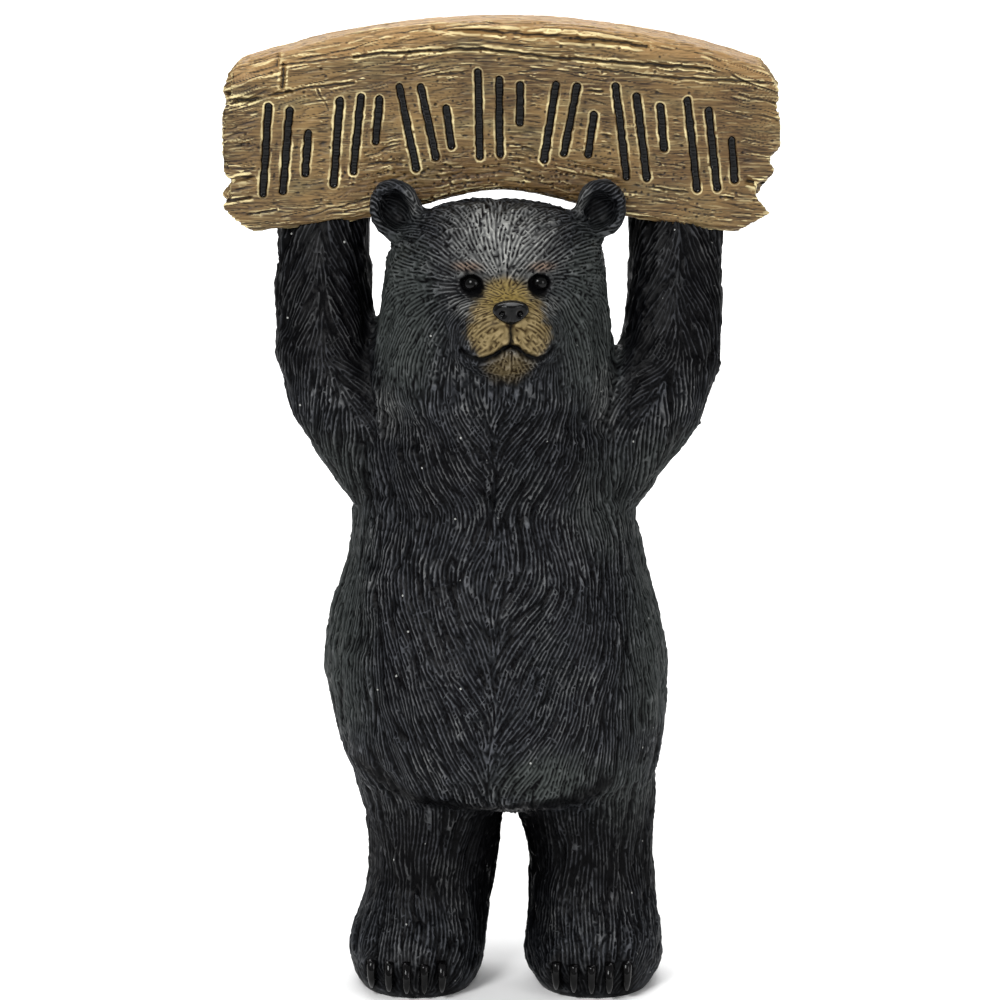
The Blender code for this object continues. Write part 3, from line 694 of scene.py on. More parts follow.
def paintedAreas(points):
    # where the painter changed colour, each from 0 to 1
    local = facePoints(points)
    ahead, upright = local[:, [0, 2]], points[:, [0, 2]]    # as the face and as the viewer look
    x, y, z = points.T
    ruffle = 0.10 * softNoise(points, 1.8, 51) + 0.10 * softNoise(points, 5.0, 52)
    face = fade(-local[:, 1], 20, 30) * fade(z, 236, 250)
    front = fade(-y, -4, 14)
    areas = {}

    # Tan muzzle down to the lip, a dimmer chin, ochre on the bridge and rose brows
    lip = np.interp(ahead[:, 0], *np.array(bear["mouthLine"]).T)
    muzzle = spots(ahead, "muzzle", ruffle) * fade(ahead[:, 1] - lip, -1.0, 0.0)
    areas["tan"] = face * np.maximum(muzzle, 0.55 * spots(ahead, "chin", ruffle))
    areas["ochre"] = face * spots(ahead, "bridge")
    areas["rose"] = face * spots(ahead, "brows", ruffle)

    # Silver over the forehead, partly painted highlight there and on the ear roots and shoulders; slate on
    # cheeks and flanks, partly painted sheen along those sides
    areas["silver"] = np.maximum.reduce([
        spots(ahead, "forehead", ruffle) * fade(-y, 0, 25), 0.6 * spots(ahead, "cheekbones") * face,
        0.8 * spots(upright, "earRoots") * front, 0.3 * spots(upright, "shoulders") * front])
    flanks = fade(np.abs(x + 1), 46, 64) * fade(z, 100, 120) * (1 - fade(z, 222, 240))
    cheeks = spots(upright, "cheeks", ruffle) * (1 - fade(np.abs(x), 49, 54))
    areas["slate"] = np.maximum.reduce([
        0.7 * flanks, 0.8 * cheeks, 0.9 * spots(upright, "belly", 2 * ruffle) * front,
        0.6 * spots(upright, "waist", 2 * ruffle) * front, 0.6 * spots(upright, "thigh", 2 * ruffle)])

    # Black in the mouth line and lip groove, and black as painted shade deep in the sockets, ear hollows and
    # armpits, along the fold under the belly, between the legs and round the claws
    mouth = 1 - fade(lineGap(ahead, bear["mouthLine"]), 0.8, 1.8)
    groove = 1 - fade(lineGap(ahead, bear["lipGroove"]), 0.5, 1.3)
    hollows = spots(upright, "earHollows") * (1 - fade(y, 2, 6))
    between = (1 - fade(np.abs(x - 3.6), 9, 24)) * (1 - fade(z, 72, 88)) * fade(z, 6, 30)
    armpits = fade(z, 232, 250) * (1 - fade(z, 290, 310)) * (1 - fade(np.abs(x), 58, 66))
    armpits = armpits * fade(np.abs(x), 49, 52)
    fold = (1 - fade(lineGap(upright, bear["bellyFold"]), 1.2, 5.0)) * fade(-y, 20, 34)
    deep = [mouth * face, groove * face, 0.4 * hollows, 0.85 * between, 0.6 * armpits, 0.9 * fold]
    for side in (-1, 1):
        eye = (side * bear["eyeSpread"], bear["eyeLevel"] + 0.3)
        deep.append(oval(ahead, eye, bear["socketHalf"], 0.15) * face)
    for centre, toes in bear["feet"]:
        for k in range(bear["toeCount"]):
            place = toePlace(centre, toes, k)[0]
            recess = oval(upright, (place.x, 9.5), (3.9, 9.0), 0.3)
            deep.append(0.8 * recess * (1 - fade(y, -45, -35)))
    areas["deep"] = np.maximum.reduce(deep)

    # Painted shade: less grey over the arms under the board, the legs under the belly, the chest under the
    # head and the ear hollows
    arms = fade(z, 244, 262) * fade(np.abs(x), 51, 56)
    legs = (1 - fade(z, 66, 90)) * fade(z, 26, 46)
    chest = fade(z, 196, 210) * (1 - fade(z, 232, 250)) * front
    areas["shade"] = np.maximum.reduce([arms, legs, 0.45 * chest, 0.5 * hollows])
    return areas


def combedSkin():
    # the fused skin with its locks and clumps as masks, and the phase of its strands
    form = bodyForm()
    print("form fused:", len(form.vertices), "points")
    skin = changed(form, "REMESH", mode="VOXEL", voxel_size=bear["skinCell"])
    skin = changed(skin, "SMOOTH", factor=0.5, iterations=2)
    points, normals, flow, across = lay(skin)
    wave = combed(skin, across, flow, strandPitch(points), bear["combRounds"])
    print("strands combed on", len(points), "points")
    for name in ("tufts", "locks"):
        spacing, length, depth, samples, seed = bear[name]
        writeMask(skin, name, lockHeight(points, flow, spacing, length, samples, seed))
    pitch = bear["clumpPitch"] * strandPitch(points) * (1 + 0.3 * softNoise(points, 14.0, 15))
    clump = combed(skin, across, flow, pitch, bear["combRounds"] // 2)
    comeAndGo = fade(softNoise(points, 8.0, 16), -0.55, 0.25)
    writeMask(skin, "clumps", 1 - comeAndGo * (np.abs(np.angle(clump)) / math.pi) ** 5)
    print("locks laid")
    return skin, wave


def furRelief(skin, points, strand):
    # how far the fur stands off the form, and the ridges left for painting
    tufts, locks, clumps = (readMask(skin, name) for name in ("tufts", "locks", "clumps"))
    head = headShare(points)
    x, y, z = points.T
    chest = fade(z, 192, 204) * (1 - fade(z, 240, 256)) * fade(-y, 10, 25)
    depth = bear["strandDepth"] + (bear["headDepth"] - bear["strandDepth"]) * head + 0.25 * chest
    depth = depth * (1 + 0.45 * softNoise(points, 6.0, 31))
    depth = depth + 0.45 * fade(z, 312, 318) * fade(np.abs(x), 32, 36)
    muzzle = fade(-facePoints(points)[:, 1], 44, 52) * fade(z, 255, 264)
    soles = 1 - fade(z, 1, 6)
    relief = bear["tufts"][2] * (tufts - 0.45) + bear["locks"][2] * (locks - 0.45)
    relief = relief * (1 + 0.8 * chest) - bear["clumpDepth"] * (1 - clumps) * (1 - 0.6 * head)
    writeMask(skin, "ridge", strand * (1 - 0.8 * (1 - clumps) * (1 - 0.6 * head)))
    keep = 1 - bareShare(points)
    return relief * keep + depth * (strand - 0.6) * (1 - 0.45 * muzzle) * (1 - soles)


def carvedSkin():
    skin, wave = combedSkin()
    # Halved cells keep the first points in their order, so the phase carries over
    skin = changed(skin, "SUBSURF", levels=1, render_levels=1)
    points, normals, flow, across = lay(skin)
    start = np.zeros(len(points), dtype=complex)
    start[:len(wave)] = wave
    strand = strandHeight(combed(skin, across, flow, strandPitch(points), bear["refineRounds"], start))
    print("strands refined on", len(points), "points")
    relief = furRelief(skin, points, strand)
    for name, area in paintedAreas(points).items():
        writeMask(skin, name, area)
    print("areas marked for painting")
    points = modelFace(points + normals * relief[:, None])
    points[:, 2] = np.maximum(points[:, 2], 0)
    writePoints(skin, points)
    writeMask(skin, "proud", rated(bulge(skin, 10), 15, 92))
    full = sum(len(face.vertices) - 2 for face in skin.polygons)
    skin = thinned(skin, bear["triangles"], fineShare(points))
    print("skin carved:", full, "triangles thinned to", len(skin.polygons))
    return skin


def fineShare(points):
    # the face and the front keep more of their small facets
    local = facePoints(points)
    face = fade(-local[:, 1], 26, 34) * fade(points[:, 2], 252, 262)
    return np.maximum(0.8 * face, 0.62 * fade(-points[:, 1], -4, 16))


def thinned(mesh, triangles, keep):
    item = linked("work", mesh)
    group = item.vertex_groups.new(name="thin")
    levels = np.round((1 - keep) * 10).astype(int)
    for level in range(1, 11):
        group.add(np.flatnonzero(levels == level).tolist(), level / 10, "REPLACE")
    thin = item.modifiers.new("thin", "DECIMATE")
    thin.ratio = triangles / sum(len(face.vertices) - 2 for face in mesh.polygons)
    thin.use_collapse_triangulate = True
    thin.vertex_group = group.name
    thin.vertex_group_factor = 1.0
    return settle(item)


# Crisp glossy forms set into the skin: eyes, nose and claws

def skinFront(tree, x, z):
    return tree.ray_cast(Vector((x, -200, z)), Vector((0, 1, 0)))[0]


def addEyes(shape, tree):
    for side in (-1, 1):
        place = headFrame() @ Vector((side * bear["eyeSpread"], bear["eyeFront"], bear["eyeLevel"]))
        centre = skinFront(tree, place.x, place.z) + Vector((0, 0.7, 0))
        addBall(shape, centre, (bear["eyeRadius"], 3.4, bear["eyeRadius"]), None, 40)


def addNose(shape):
    # broad and flat on top, pointed below, with two nostrils and a groove
    turn = Matrix.Rotation(bear["headTurn"], 4, "Z")
    centre = headFrame() @ Vector((0, bear["noseFront"] + 1.5, bear["noseLevel"]))
    for vert in addBall(shape, Vector((0, 0, 0)), (7.4, 4.6, 5.6), None, 64):
        x, y, z = vert.co
        low = max(-z / 5.6, 0)
        x *= 1 - 0.40 * low ** 1.5
        z = z if z < 2.6 else 2.6 + 0.62 * (z - 2.6)
        if y < 0:
            y += 2.8 * math.exp(-((abs(x) - 3.6) / 1.5) ** 2 - ((z + 0.1 + 0.2 * abs(x)) / 1.5) ** 2)
            y += 1.0 * math.exp(-(x / 0.8) ** 2) * min(low * 3, 1)
            y -= 0.45 * math.exp(-((z - 2.7) / 1.0) ** 2)
        vert.co = centre + turn @ Vector((x, y, z))


def addClaw(shape, path):
    rings = []
    for k, centre in enumerate(path):
        share = k / (len(path) - 1)
        ahead = path[min(k + 1, len(path) - 1)] - path[max(k - 1, 0)]
        size = bear["clawRadius"] * math.sqrt(max(1 - share ** 3, 0.02)) * (1 - 0.3 * share)
        rings.append(limbRing(centre, ahead.normalized(), size, size * 1.1, sides=14))
    addLoft(shape, rings)


def smoothPath(points, count):
    # a quadratic run through places given at even shares
    runs = np.array([tuple(point) for point in points])
    shares = np.linspace(0, 1, len(points))
    curve = [np.polyfit(shares, runs[:, axis], 2) for axis in range(3)]
    return [Vector([np.polyval(part, k / (count - 1)) for part in curve]) for k in range(count)]


def addClaws(shape, tree):
    for centre, front in bear["feet"]:
        for k in range(bear["toeCount"]):
            place = toePlace(centre, front, k)[0]
            path = []
            for share, standOut in ((0, -1.0), (0.25, 1.1), (0.5, 1.9), (0.75, 1.8), (1, 0.8)):
                height = bear["clawTop"] + (bear["clawTip"] - bear["clawTop"]) * share
                path.append(skinFront(tree, place.x, height) + Vector((0, -standOut, 0)))
            addClaw(shape, smoothPath(path, 10))
    for side in (-1, 1):
        for k in range(bear["toeCount"]):
            place, spread = fingerPlace(side, k)
            path = [place + Vector((2.4 * spread * share, 3.2 - 4.2 * share ** 2, 4 + 11 * share))
                    for share in np.linspace(0, 1, 9)]
            addClaw(shape, path)


def buildBear():
    skin = carvedSkin()
    tree = BVHTree.FromPolygons([vert.co for vert in skin.vertices],
                                [face.vertices[:] for face in skin.polygons])
    shape = bmesh.new()
    addEyes(shape, tree)
    addNose(shape)
    addClaws(shape, tree)
    bmesh.ops.recalc_face_normals(shape, faces=shape.faces[:])
    for face in shape.faces:
        face.material_index = 1
    shape.from_mesh(skin)
    cast = meshObject("bear_cast", shape)
    cast.data.transform(Matrix.Translation(toWorld) @ Matrix.Scale(step, 4))
    keptInside(cast.data, "bear")
    cast.data.shade_smooth()
    cast.data.materials.append(paintedFur())
    cast.data.materials.append(glossEnamel())
    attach(cast, "root")
    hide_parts("bear")
    print("bear in place:", sum(len(face.vertices) - 2 for face in cast.data.polygons), "triangles")


def paintedFur():
    # hand-painted polyresin: a satin black coat that looks deep in the grooves, charcoal on the flanks
    # and matter grey dry-brushed along the crests, so each strand shows as a thin light line
    material, tree, shader = emptyMaterial("hand_painted_polyresin")
    areas = ("slate", "silver", "tan", "ochre", "rose")
    masks = {name: addNode(tree, "ShaderNodeAttribute", {"attribute_name": name}).outputs["Fac"]
             for name in ("ridge", "proud", "shade", "deep", *areas)}
    hairs = grainNoise(tree, 0.5, (1, 1, 8))
    crest, flank = bear["fur"]
    crest = coat(tree, crest, bear["silver"][0], (grainNoise(tree, 14.0), 0.45, 0.75, 0, 0.3))
    flank = coat(tree, flank, bear["coat"], (hairs, 0.35, 0.65, 0, 0.6))
    # silver and slate carry painted highlight and painted sheen along with their paint
    for name in areas:
        crest = coat(tree, crest, bear[name][0], (masks[name], 0, 1, 0, 0.85))
        flank = coat(tree, flank, bear[name][1], (masks[name], 0, 1, 0, 0.85))
    colour = coat(tree, bear["coat"], bear["tanGroove"], (masks["tan"], 0, 1))
    # painted shade: the shade mask thins the charcoal flanks here and the grey crests below
    colour = coat(tree, colour, flank, (masks["ridge"], 0.34, 0.72), (masks["shade"], 0, 1, 1, 0.15))
    brushed = shareOf(tree, (masks["ridge"], 0.66, 0.96), (masks["proud"], 0.1, 1, 0.15, 1),
                      (grainNoise(tree, 1.2), 0.3, 0.7, 0.55, 1), (grainNoise(tree, 5.0), 0.35, 0.65, 0.5, 1),
                      (masks["shade"], 0, 1, 1, 0.48))
    colour = coat(tree, colour, crest, (brushed, 0, 1))
    # black coat over the deep mask: the mouth line and lip groove, and painted shade in hollows, under the
    # belly and round the claws
    colour = coat(tree, colour, bear["coat"], (masks["deep"], 0, 1))
    # specks of pale dust under a millimetre across, one to a cell of 11 mm; none in tan or deep places
    place = addNode(tree, "ShaderNodeTexCoord").outputs["Object"]
    dust = addNode(tree, "ShaderNodeTexVoronoi", inputs={"Vector": place, "Scale": 90.0}).outputs["Distance"]
    colour = coat(tree, colour, bear["dust"], (dust, 0.03, 0.05, 1, 0),
                  (masks["deep"], 0, 0.4, 0.85, 0), (masks["tan"], 0, 0.1, 1, 0))
    bump = addNode(tree, "ShaderNodeBump", inputs={"Height": hairs, "Strength": 0.4, "Distance": 0.0002})
    setInputs(tree, shader, {
        "Base Color": colour, "Roughness": shareOf(tree, (brushed, 0, 1, 0.42, 0.62)),
        "Specular IOR Level": 0.05, "Normal": bump.outputs["Normal"]})
    return material


def glossEnamel():
    # black gloss enamel on eyes, nose and claws: a wet look with sharp highlights
    material, tree, shader = emptyMaterial("black_gloss_enamel")
    setInputs(tree, shader, {
        "Base Color": coat(tree, *bear["enamel"], (grainNoise(tree, 3.0), 0.35, 0.75)),
        "Roughness": shareOf(tree, (grainNoise(tree, 1.5), 0.3, 0.7, 0.08, 0.16)),
        "Specular IOR Level": 0.16})
    return material


# The sign board, on the same grid: a log slab with its cracks, grain, worn ends and a row of strokes

board = {
    "height": 71.5,
    "archRise": 21.5,
    "archReach": 52.0,
    "topRadius": 325.0,
    "edgeRound": 3.0,
    "topCorner": 8.5,
    "wornShare": 0.16,
    # for the left and right end: the lower corner's cut, then notches as share up, half and depth
    "endWear": {
        -1: (14.0, ((0.33, 0.10, 4.8), (0.79, 0.05, 2.2))),
        1: (18.6, ((0.26, 0.14, 10.2), (0.47, 0.08, 4.8), (0.80, 0.05, 2.2))),
    },
    "cell": 0.85,
    "triangles": 184000,
    "strokeWidth": 3.7,
    "strokeDepth": 1.8,
    "strokeGroups": 7,
    "rowShare": 0.88,           # of the board's length
    "groupShare": 0.74,         # of one group's pitch
    "rowLow": 0.20,             # shares of the board's height
    "rowHigh": 0.70,
    # cracks of the face: width and depth, then places across and up from the middle's lower edge
    "cracks": (
        (1.0, 2.0, ((-27, 68.6), (2, 66.4), (25, 64.6), (46, 62.8), (60, 60.8))),
        (0.6, 1.5, ((-60, 56.2), (-49, 57.9), (-11, 60.0), (2, 58.6), (20, 56.2), (48, 54.3), (86, 51.5))),
        (0.4, 0.6, ((-90, 53.0), (-66, 55.8), (-58, 56.6))),
        (0.55, 0.9, ((40, 51.5), (65, 48.2), (114, 45.6))),
        (0.8, 1.7, ((-113, 38.2), (-103, 38.4), (-86, 42.2))),
        (0.5, 0.9, ((-88, 41.8), (-77, 43.9), (-60, 46.0))),
        (0.35, 0.5, ((-75, 43.0), (-68.7, 32.0))),
        (1.0, 2.0, ((-113, 5.0), (-100, 6.8), (-86, 7.7))),
        (0.5, 0.9, ((-88, 7.6), (-73, 8.8), (-62, 9.0))),
        (1.2, 2.2, ((93, 6.9), (100, 5.4), (110, 2.2))),
        (0.5, 1.0, ((-112, -3.6), (-102, -1.8), (-83, 0.0))),
        (0.4, 0.8, ((-104, -9.0), (-92, -6.9))),
        (0.4, 0.9, ((-66, -5.8), (-54, -2.6))),
        (0.4, 0.8, ((-64, -8.0), (-53, -5.4))),
        (0.7, 0.9, ((-26, 49.4), (-6, 49.6))),
        (0.4, 0.8, ((-52, 20.4), (-31, 22.1), (-8, 24.9))),
        (0.4, 0.8, ((-41, 38.4), (-31, 38.0))),
        (0.4, 0.8, ((-4, 34.4), (14, 36.4))),
        (0.4, 0.8, ((-4, 20.2), (18, 20.6))),
        (0.6, 1.1, ((28, 42.6), (42, 42.2))),
        (0.4, 0.8, ((48, 30.4), (86, 29.8))),
        (0.4, 0.8, ((48, 24.4), (78, 23.6))),
        (0.5, 0.9, ((98, 40.6), (114, 37.2))),
        (0.5, 0.9, ((52, 4.0), (80, 0.0), (96, -2.0))),
        (0.8, 1.3, ((-89.5, 43.5), (-88.6, 53.5))),
    ),
    "knot": (-69.6, -3.9),
    # sizes along, up and through the slab, then depth
    "coarseGrain": ((34, 2.8, 4.0), 0.50),
    "middleGrain": ((17, 1.25, 2.0), 0.60),
    "fineGrain": ((8, 0.75, 1.2), 0.34),
    "splits": ((46, 6.0, 9.0), 0.9),
    # ovals on the face: middle, half sizes, softness of the rim
    "pitted": ((0, 5), (70, 14), 0.4),
    "darkMiddle": ((0, -2), (62, 20), 0.5),
    # painted shade over the right end
    "darkRight": ((92, 24), (30, 34), 0.6),
    # brown wash first, then the coats laid over it, painted top light and painted shade among them
    "brown": "#372413",
    "tan": "#6f5938",
    "honey": "#866b42",
    "olive": "#696042",
    # lighter tan as painted top light on the upward faces and the front's top edge
    "worn": "#b08a58",
    # darker brown low in the middle, and painted shade on the right end
    "bark": "#5a3f20",
    "pale": "#eedda6",
    # dark brown for fine grain lines, and painted shade in the hollows and cracks
    "deep": "#120b05",
    "enamel": "#020202",
}
restLine = boardHigh.z / step - board["height"]
boardFront = boardLow.y / step
boardLength = (boardHigh.x - boardLow.x) / step


def slabEdges(x):
    low = -board["archRise"] * x ** 2 / (x ** 2 + board["archReach"] ** 2)
    drop = board["topRadius"] - np.sqrt(board["topRadius"] ** 2 - x ** 2)
    return low, board["height"] - drop


def endInset(side, share):
    corner, notches = board["endWear"][side]
    depth = corner * max(0.0, 1 - share / 0.2) ** 1.3
    depth += board["topCorner"] * max(0.0, (share - 0.84) / 0.16) ** 2
    for middle, half, size in notches:
        depth = max(depth, size * max(0.0, 1 - ((share - middle) / half) ** 2))
    return depth


def slabForm(stations=80, rows=30):
    shape = bmesh.new()
    thickness = boardThickness / step
    rings = []
    for i in range(stations):
        along = 2 * i / (stations - 1) - 1
        side = -1 if along < 0 else 1
        # share of the worn end at this station
        worn = max(0.0, (abs(along) - 1 + board["wornShare"]) / board["wornShare"])
        ring = []
        for k in range(2 * rows):
            share = k / (rows - 1) if k < rows else (2 * rows - 1 - k) / (rows - 1)
            x = along * boardLength / 2 - side * endInset(side, share) * worn
            low, high = slabEdges(x)
            edge = min(share, 1 - share) * board["height"]
            rounding = board["edgeRound"] * max(0.0, 1 - edge / board["edgeRound"]) ** 2
            y = rounding if k < rows else thickness - rounding
            ring.append(Vector((x, boardFront + y, restLine + low + (high - low) * share)))
        rings.append(ring)
    addLoft(shape, rings)
    bmesh.ops.recalc_face_normals(shape, faces=shape.faces[:])
    return meshObject("slab", shape)


def strokeMarks(group):
    # two tall leaning bars and a short one, as shares of the group's box
    lean = 0.14 * math.sin(1.9 * group + 0.6)
    tall = 0.06 * math.cos(2.3 * group)
    short = 0.34 + 0.22 * (group % 2)
    return (
        ((0.08 + lean, 0.96 + tall), (0.12 - lean, 0.04)),
        ((0.48 + lean, 0.92), (0.50 - lean, 0.10 - tall)),
        ((0.88 + lean * 0.4, short + 0.30), (0.88 - lean * 0.4, short - 0.14)),
    )


def strokeLines():
    pitch = boardLength * board["rowShare"] / board["strokeGroups"]
    lines = []
    for group in range(board["strokeGroups"]):
        left = (group - board["strokeGroups"] / 2 + 0.5 - board["groupShare"] / 2) * pitch
        for mark in strokeMarks(group):
            line = []
            for across, up in mark:
                x = left + across * pitch * board["groupShare"]
                low, high = slabEdges(x)
                share = board["rowLow"] + (board["rowHigh"] - board["rowLow"]) * up
                line.append((x, low + (high - low) * share))
            lines.append(line)
    return lines


def slabNoise(x, level, y, sizes, seed):
    # noise drawn out along the grain; sizes along, up and through the slab
    return softNoise(np.stack([x / sizes[0], level / sizes[1], y / sizes[2]], axis=1), 1.0, seed)


def bentLevel(points, flat, knot, level):
    # the grain bends round the knot, and wanders
    above = np.tanh((flat[:, 1] - board["knot"][1]) / 2.0)
    level = level + 3.0 * np.exp(-(knot / 6.0) ** 2) * above
    return level + 1.6 * softNoise(points, 26.0, 61) + 0.5 * softNoise(points, 9.0, 62)


def grainHeight(points, flat, level, face, top, strokes):
    # grain of three widths, pits and long splits, all fading out towards the strokes
    x, y, z = points.T
    names = ("coarseGrain", "middleGrain", "fineGrain", "splits")
    coarse, middle, fine, long = (
        slabNoise(x, level, y, board[name][0], 63 + k) for k, name in enumerate(names))
    depths = [board[name][1] for name in names]
    split = fade(slabNoise(x, level, y, (20, 7.0, 9.0), 67), -0.05, 0.35)
    free = 1 - face * (1 - fade(strokes, 2.4, 5.0))
    height = (depths[0] * coarse + 0.16 * softNoise(points, 3.2, 68) * (1 - top)) * (0.4 + 0.6 * free)
    height -= depths[1] * np.exp(-(middle / 0.22) ** 2) * fade(coarse, -0.5, 0.2) * free
    height -= depths[2] * np.exp(-(fine / 0.28) ** 2) * (0.3 + 0.7 * free)
    height -= 0.9 * specks(points, 4.8, 0.6, 69) * face
    pitted = oval(flat, *board["pitted"], 0.2 * softNoise(points, 7.0, 76))
    height -= 1.1 * specks(points, 2.6, 0.55, 77) * face * pitted
    clear = fade(strokes, 3.0, 6.5)
    return height - depths[3] * np.exp(-(long / 0.12) ** 2) * split * (1 - face + face * clear)


def crackHeight(points, flat, face, strokes):
    # cracks with raised lips; none joins two strokes
    clear = fade(strokes, 3.0, 6.5) * face
    wobble = 0.3 * softNoise(points, 3.0, 70)
    height = np.zeros(len(points))
    for width, depth, line in board["cracks"]:
        gap = lineGap(flat + wobble[:, None], line)
        height -= clear * depth * np.exp(-(gap / width) ** 2)
        height += clear * 0.18 * np.exp(-((gap - 2.2 * width) / (0.8 * width)) ** 2)
    return height


def brokenEnds(points, normals, level):
    # ends broken back in steps along the grain, and the left block's front edge cut lower
    x, y, z = points.T
    ends = fade(np.abs(normals[:, 0]), 0.4, 0.75)
    torn = 1.5 * np.abs(slabNoise(x * 0, level, y, (1, 2.4, 7.0), 72))
    torn += 0.8 * np.abs(slabNoise(x * 0, level, y, (1, 1.0, 3.0), 73))
    x = x - np.sign(x) * ends * torn
    block = (1 - fade(x, -91.5, -89.5)) * fade(level, 62, 72) * (1 - fade(y - boardFront, 3, 12))
    block = block * fade(-normals[:, 1] + normals[:, 2], 0.2, 0.8)
    return np.stack([x, y + 3.0 * block, z], axis=1)


def carvedSlab():
    slab = changed(settle(slabForm()), "REMESH", mode="VOXEL", voxel_size=board["cell"])
    slab = changed(slab, "SMOOTH", factor=0.5, iterations=2)
    slab = changed(slab, "SUBSURF", levels=1, render_levels=1)
    points, normals = readPoints(slab), readPoints(slab, "normal")
    flat = points[:, [0, 2]] - (0, restLine)
    low, high = slabEdges(flat[:, 0])
    level = (flat[:, 1] - low) / (high - low) * board["height"]
    face = fade(-normals[:, 1], 0.3, 0.7)
    top = fade(normals[:, 2], 0.3, 0.8) * fade(level, 54, 68)
    knot = np.linalg.norm(flat - board["knot"], axis=1)
    level = bentLevel(points, flat, knot, level)
    strokes = np.minimum.reduce([lineGap(flat, line) for line in strokeLines()])
    height = grainHeight(points, flat, level, face, top, strokes)
    height += crackHeight(points, flat, face, strokes)
    height -= face * 0.8 * np.exp(-(knot / 1.3) ** 2)
    print("grain and cracks laid on", len(points), "points")

    half = board["strokeWidth"] / 2
    gap = strokes + 0.22 * softNoise(points, 2.2, 71)
    inside = face * (1 - fade(gap, half - 0.75, half + 0.1))
    burr = np.exp(-((gap - half - 0.45) / 0.38) ** 2)
    height = height * (1 - inside) - board["strokeDepth"] * inside
    height += face * (0.12 + 0.12 * softNoise(points, 4.0, 75)) * burr
    points = brokenEnds(points, normals, level) + normals * np.minimum(height, 0.45)[:, None]
    points[:, 1] = np.clip(points[:, 1], boardFront, boardHigh.y / step)
    points[:, 2] = np.minimum(points[:, 2], boardHigh.z / step)
    writePoints(slab, points)

    edge = rated(bulge(slab, 3), 55, 97) * 0.6 + rated(bulge(slab, 16), 70, 99) * 0.75
    rim = (0.5 + 0.4 * softNoise(points, 6.0, 78)) * face * (1 - fade(strokes, 2.5, 4.0))
    writeMask(slab, "edge", edge * (1 - rim))
    # painted shade: the hollow mask darkens the hollows and cracks
    writeMask(slab, "hollow", 1 - rated(bulge(slab, 4), 3, 60))
    writeMask(slab, "stroke", inside)
    # painted top light: lighter tan on the upward faces and the front's top edge
    writeMask(slab, "topLight", np.maximum(top, 0.9 * face * fade(level, 62, 67)))
    ruffle = 0.2 * softNoise(points, 7.0, 74)
    middle, right = (oval(flat, *board[name], ruffle) for name in ("darkMiddle", "darkRight"))
    # darker brown low in the middle, and painted shade on the right end
    writeMask(slab, "brown", np.maximum(middle, 0.6 * right))
    full = sum(len(polygon.vertices) - 2 for polygon in slab.polygons)
    slab = thinned(slab, board["triangles"], 0.35 * face)
    print("board carved:", full, "triangles thinned to", len(slab.polygons))
    return slab


def buildBoard():
    slab = carvedSlab()
    slab.transform(Matrix.Scale(step, 4))
    keptInside(slab, "sign_board")
    slab.shade_smooth()
    sign = linked("log_sign", slab)
    sign.data.materials.append(paintedWood())
    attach(sign, "root")
    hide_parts("sign_board")
    print("board in place")


def paintedWood():
    # hand-painted polyresin cast as a log slab: brown wash left in the grain, ochre over it,
    # pale yellow on every edge, and black gloss enamel run into the strokes
    material, tree, shader = emptyMaterial("wood_grain_polyresin")
    masks = {name: addNode(tree, "ShaderNodeAttribute", {"attribute_name": name}).outputs["Fac"]
             for name in ("topLight", "brown", "edge", "hollow", "stroke")}
    streaks = grainNoise(tree, 1.1, (14, 2.0, 0.9), 3.0)    # grain lines about 1 mm apart
    colour = board["brown"]
    for name, *parts in (
            ("tan", (streaks, 0.33, 0.60)),
            ("honey", (grainNoise(tree, 14.0, (2.0, 1, 1)), 0.45, 0.7, 0, 0.7)),
            ("olive", (grainNoise(tree, 9.0, (2.5, 1, 1)), 0.5, 0.7, 0, 0.5)),
            # painted top light
            ("worn", (masks["topLight"], 0, 1, 0, 0.55)),
            # painted shade on the right end, over a darker brown low in the middle
            ("bark", (masks["brown"], 0, 1, 0, 0.4)),
            ("pale", (grainNoise(tree, 1.0, (12, 2.0, 0.9)), 0.58, 0.72, 0, 0.25)),
            ("deep", (grainNoise(tree, 0.55, (16, 2.0, 1.0)), 0.36, 0.46, 0.55, 0)),
            ("pale", (masks["edge"], 0.3, 1, 0, 0.85),
             (grainNoise(tree, 4.0, (3, 1, 1)), 0.3, 0.6, 0.35, 1)),
            # painted shade in the hollows and cracks
            ("deep", (masks["hollow"], 0.05, 0.8, 0, 0.92)),
            ("enamel", (masks["stroke"], 0.35, 0.6)),
    ):
        colour = coat(tree, colour, board[name], *parts)
    bump = addNode(tree, "ShaderNodeBump", inputs={"Height": streaks, "Strength": 0.5, "Distance": 0.0003})
    setInputs(tree, shader, {
        "Base Color": colour, "Roughness": shareOf(tree, (masks["stroke"], 0.35, 0.6, 0.5, 0.16)),
        "Specular IOR Level": 0.25, "Normal": bump.outputs["Normal"]})
    return material


# Floor, light and camera

stage = {
    "floorHalf": 6,         # metres
    "floor": "#f7f7f7",
    "floorRoughness": 0.9,
    "daylight": 0.42,       # strength of the white surroundings
}


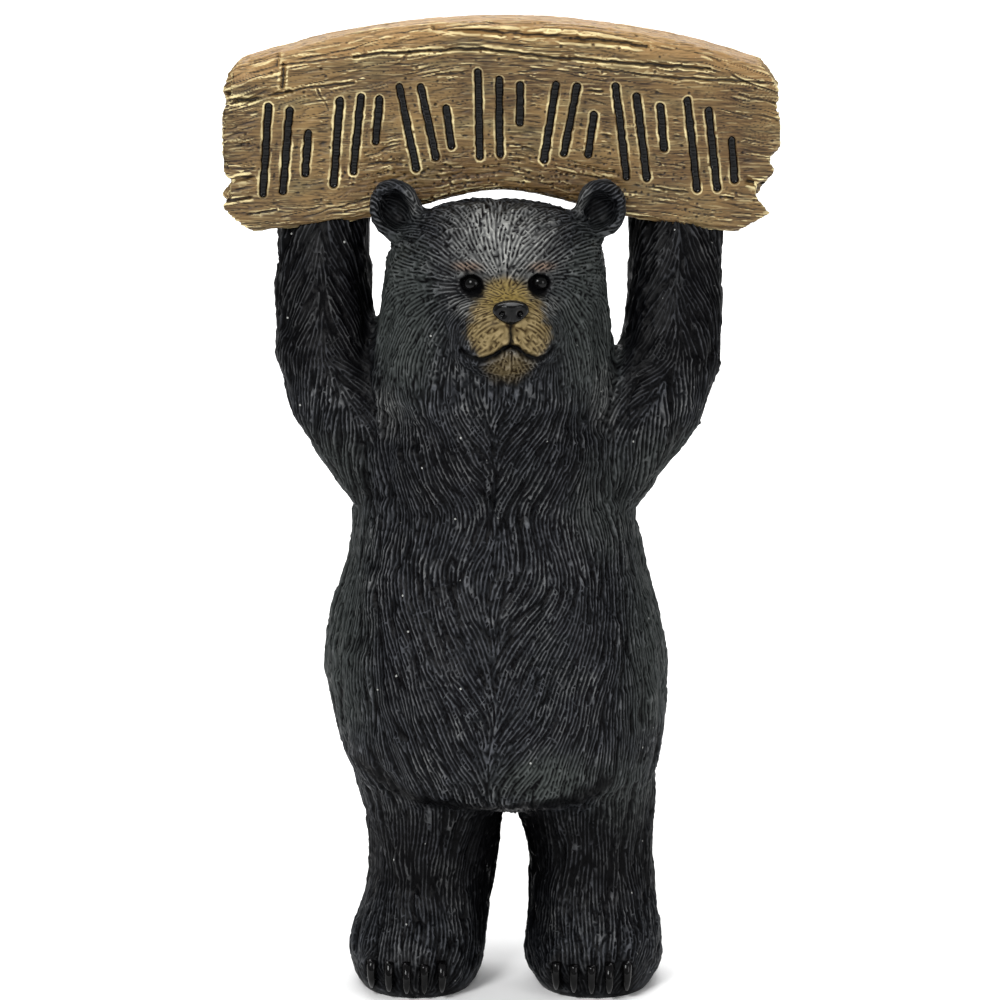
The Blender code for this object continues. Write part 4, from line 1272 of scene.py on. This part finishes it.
def buildStage():
    shape = bmesh.new()
    bmesh.ops.create_grid(shape, x_segments=1, y_segments=1, size=stage["floorHalf"])
    floor = meshObject("floor", shape)
    material, tree, shader = emptyMaterial("pale_studio_floor")
    setInputs(tree, shader, {"Base Color": stage["floor"], "Roughness": stage["floorRoughness"]})
    floor.data.materials.append(material)
    world = bpy.data.worlds.new("soft_studio")
    world.use_nodes = True
    setInputs(world.node_tree, world.node_tree.nodes["Background"], {
        "Color": "#ffffff", "Strength": stage["daylight"]})
    bpy.context.scene.world = world
    bpy.context.scene.view_settings.view_transform = "Standard"


lamps = {
    # place, aim, size and power of each softbox
    "key": ((-0.8, -1.6, 1.5), (0, 0, 0.2), 0.7, 36),
    "fill": ((1.5, -1.5, 0.8), (0, 0, 0.2), 0.9, 12),
    "top": ((0.1, 0.2, 1.9), (0, 0, 0.2), 0.9, 14),
    "backdrop": ((0, 2.6, 2.4), (0, 2.3, 0), 3.2, 130),
}


def buildLamps():
    for name, (place, aim, size, power) in lamps.items():
        data = bpy.data.lights.new(name, "AREA")
        data.size = size
        data.energy = power
        lamp = bpy.data.objects.new(name, data)
        lamp.location = place
        lamp.rotation_euler = (Vector(aim) - Vector(place)).to_track_quat("-Z", "Y").to_euler()
        bpy.context.scene.collection.objects.link(lamp)


view = {
    "elevation": math.radians(12),
    "distance": 3.0,
    "target": Vector((0, 0.008, 0.2006)),
    "pixelSize": 0.000414,      # metres that one of 1000 pixels spans at the target
    "sensor": 36.0,
}


def buildCamera():
    data = bpy.data.cameras.new("camera")
    data.sensor_width = view["sensor"]
    data.lens = view["sensor"] * view["distance"] / (1000 * view["pixelSize"])
    camera = bpy.data.objects.new("camera", data)
    ahead = Vector((0, math.cos(view["elevation"]), -math.sin(view["elevation"])))
    camera.location = view["target"] - ahead * view["distance"]
    camera.rotation_euler = ahead.to_track_quat("-Z", "Y").to_euler()
    bpy.context.scene.collection.objects.link(camera)
    bpy.context.scene.camera = camera


buildStage()
buildLamps()
buildCamera()
buildBear()
buildBoard()
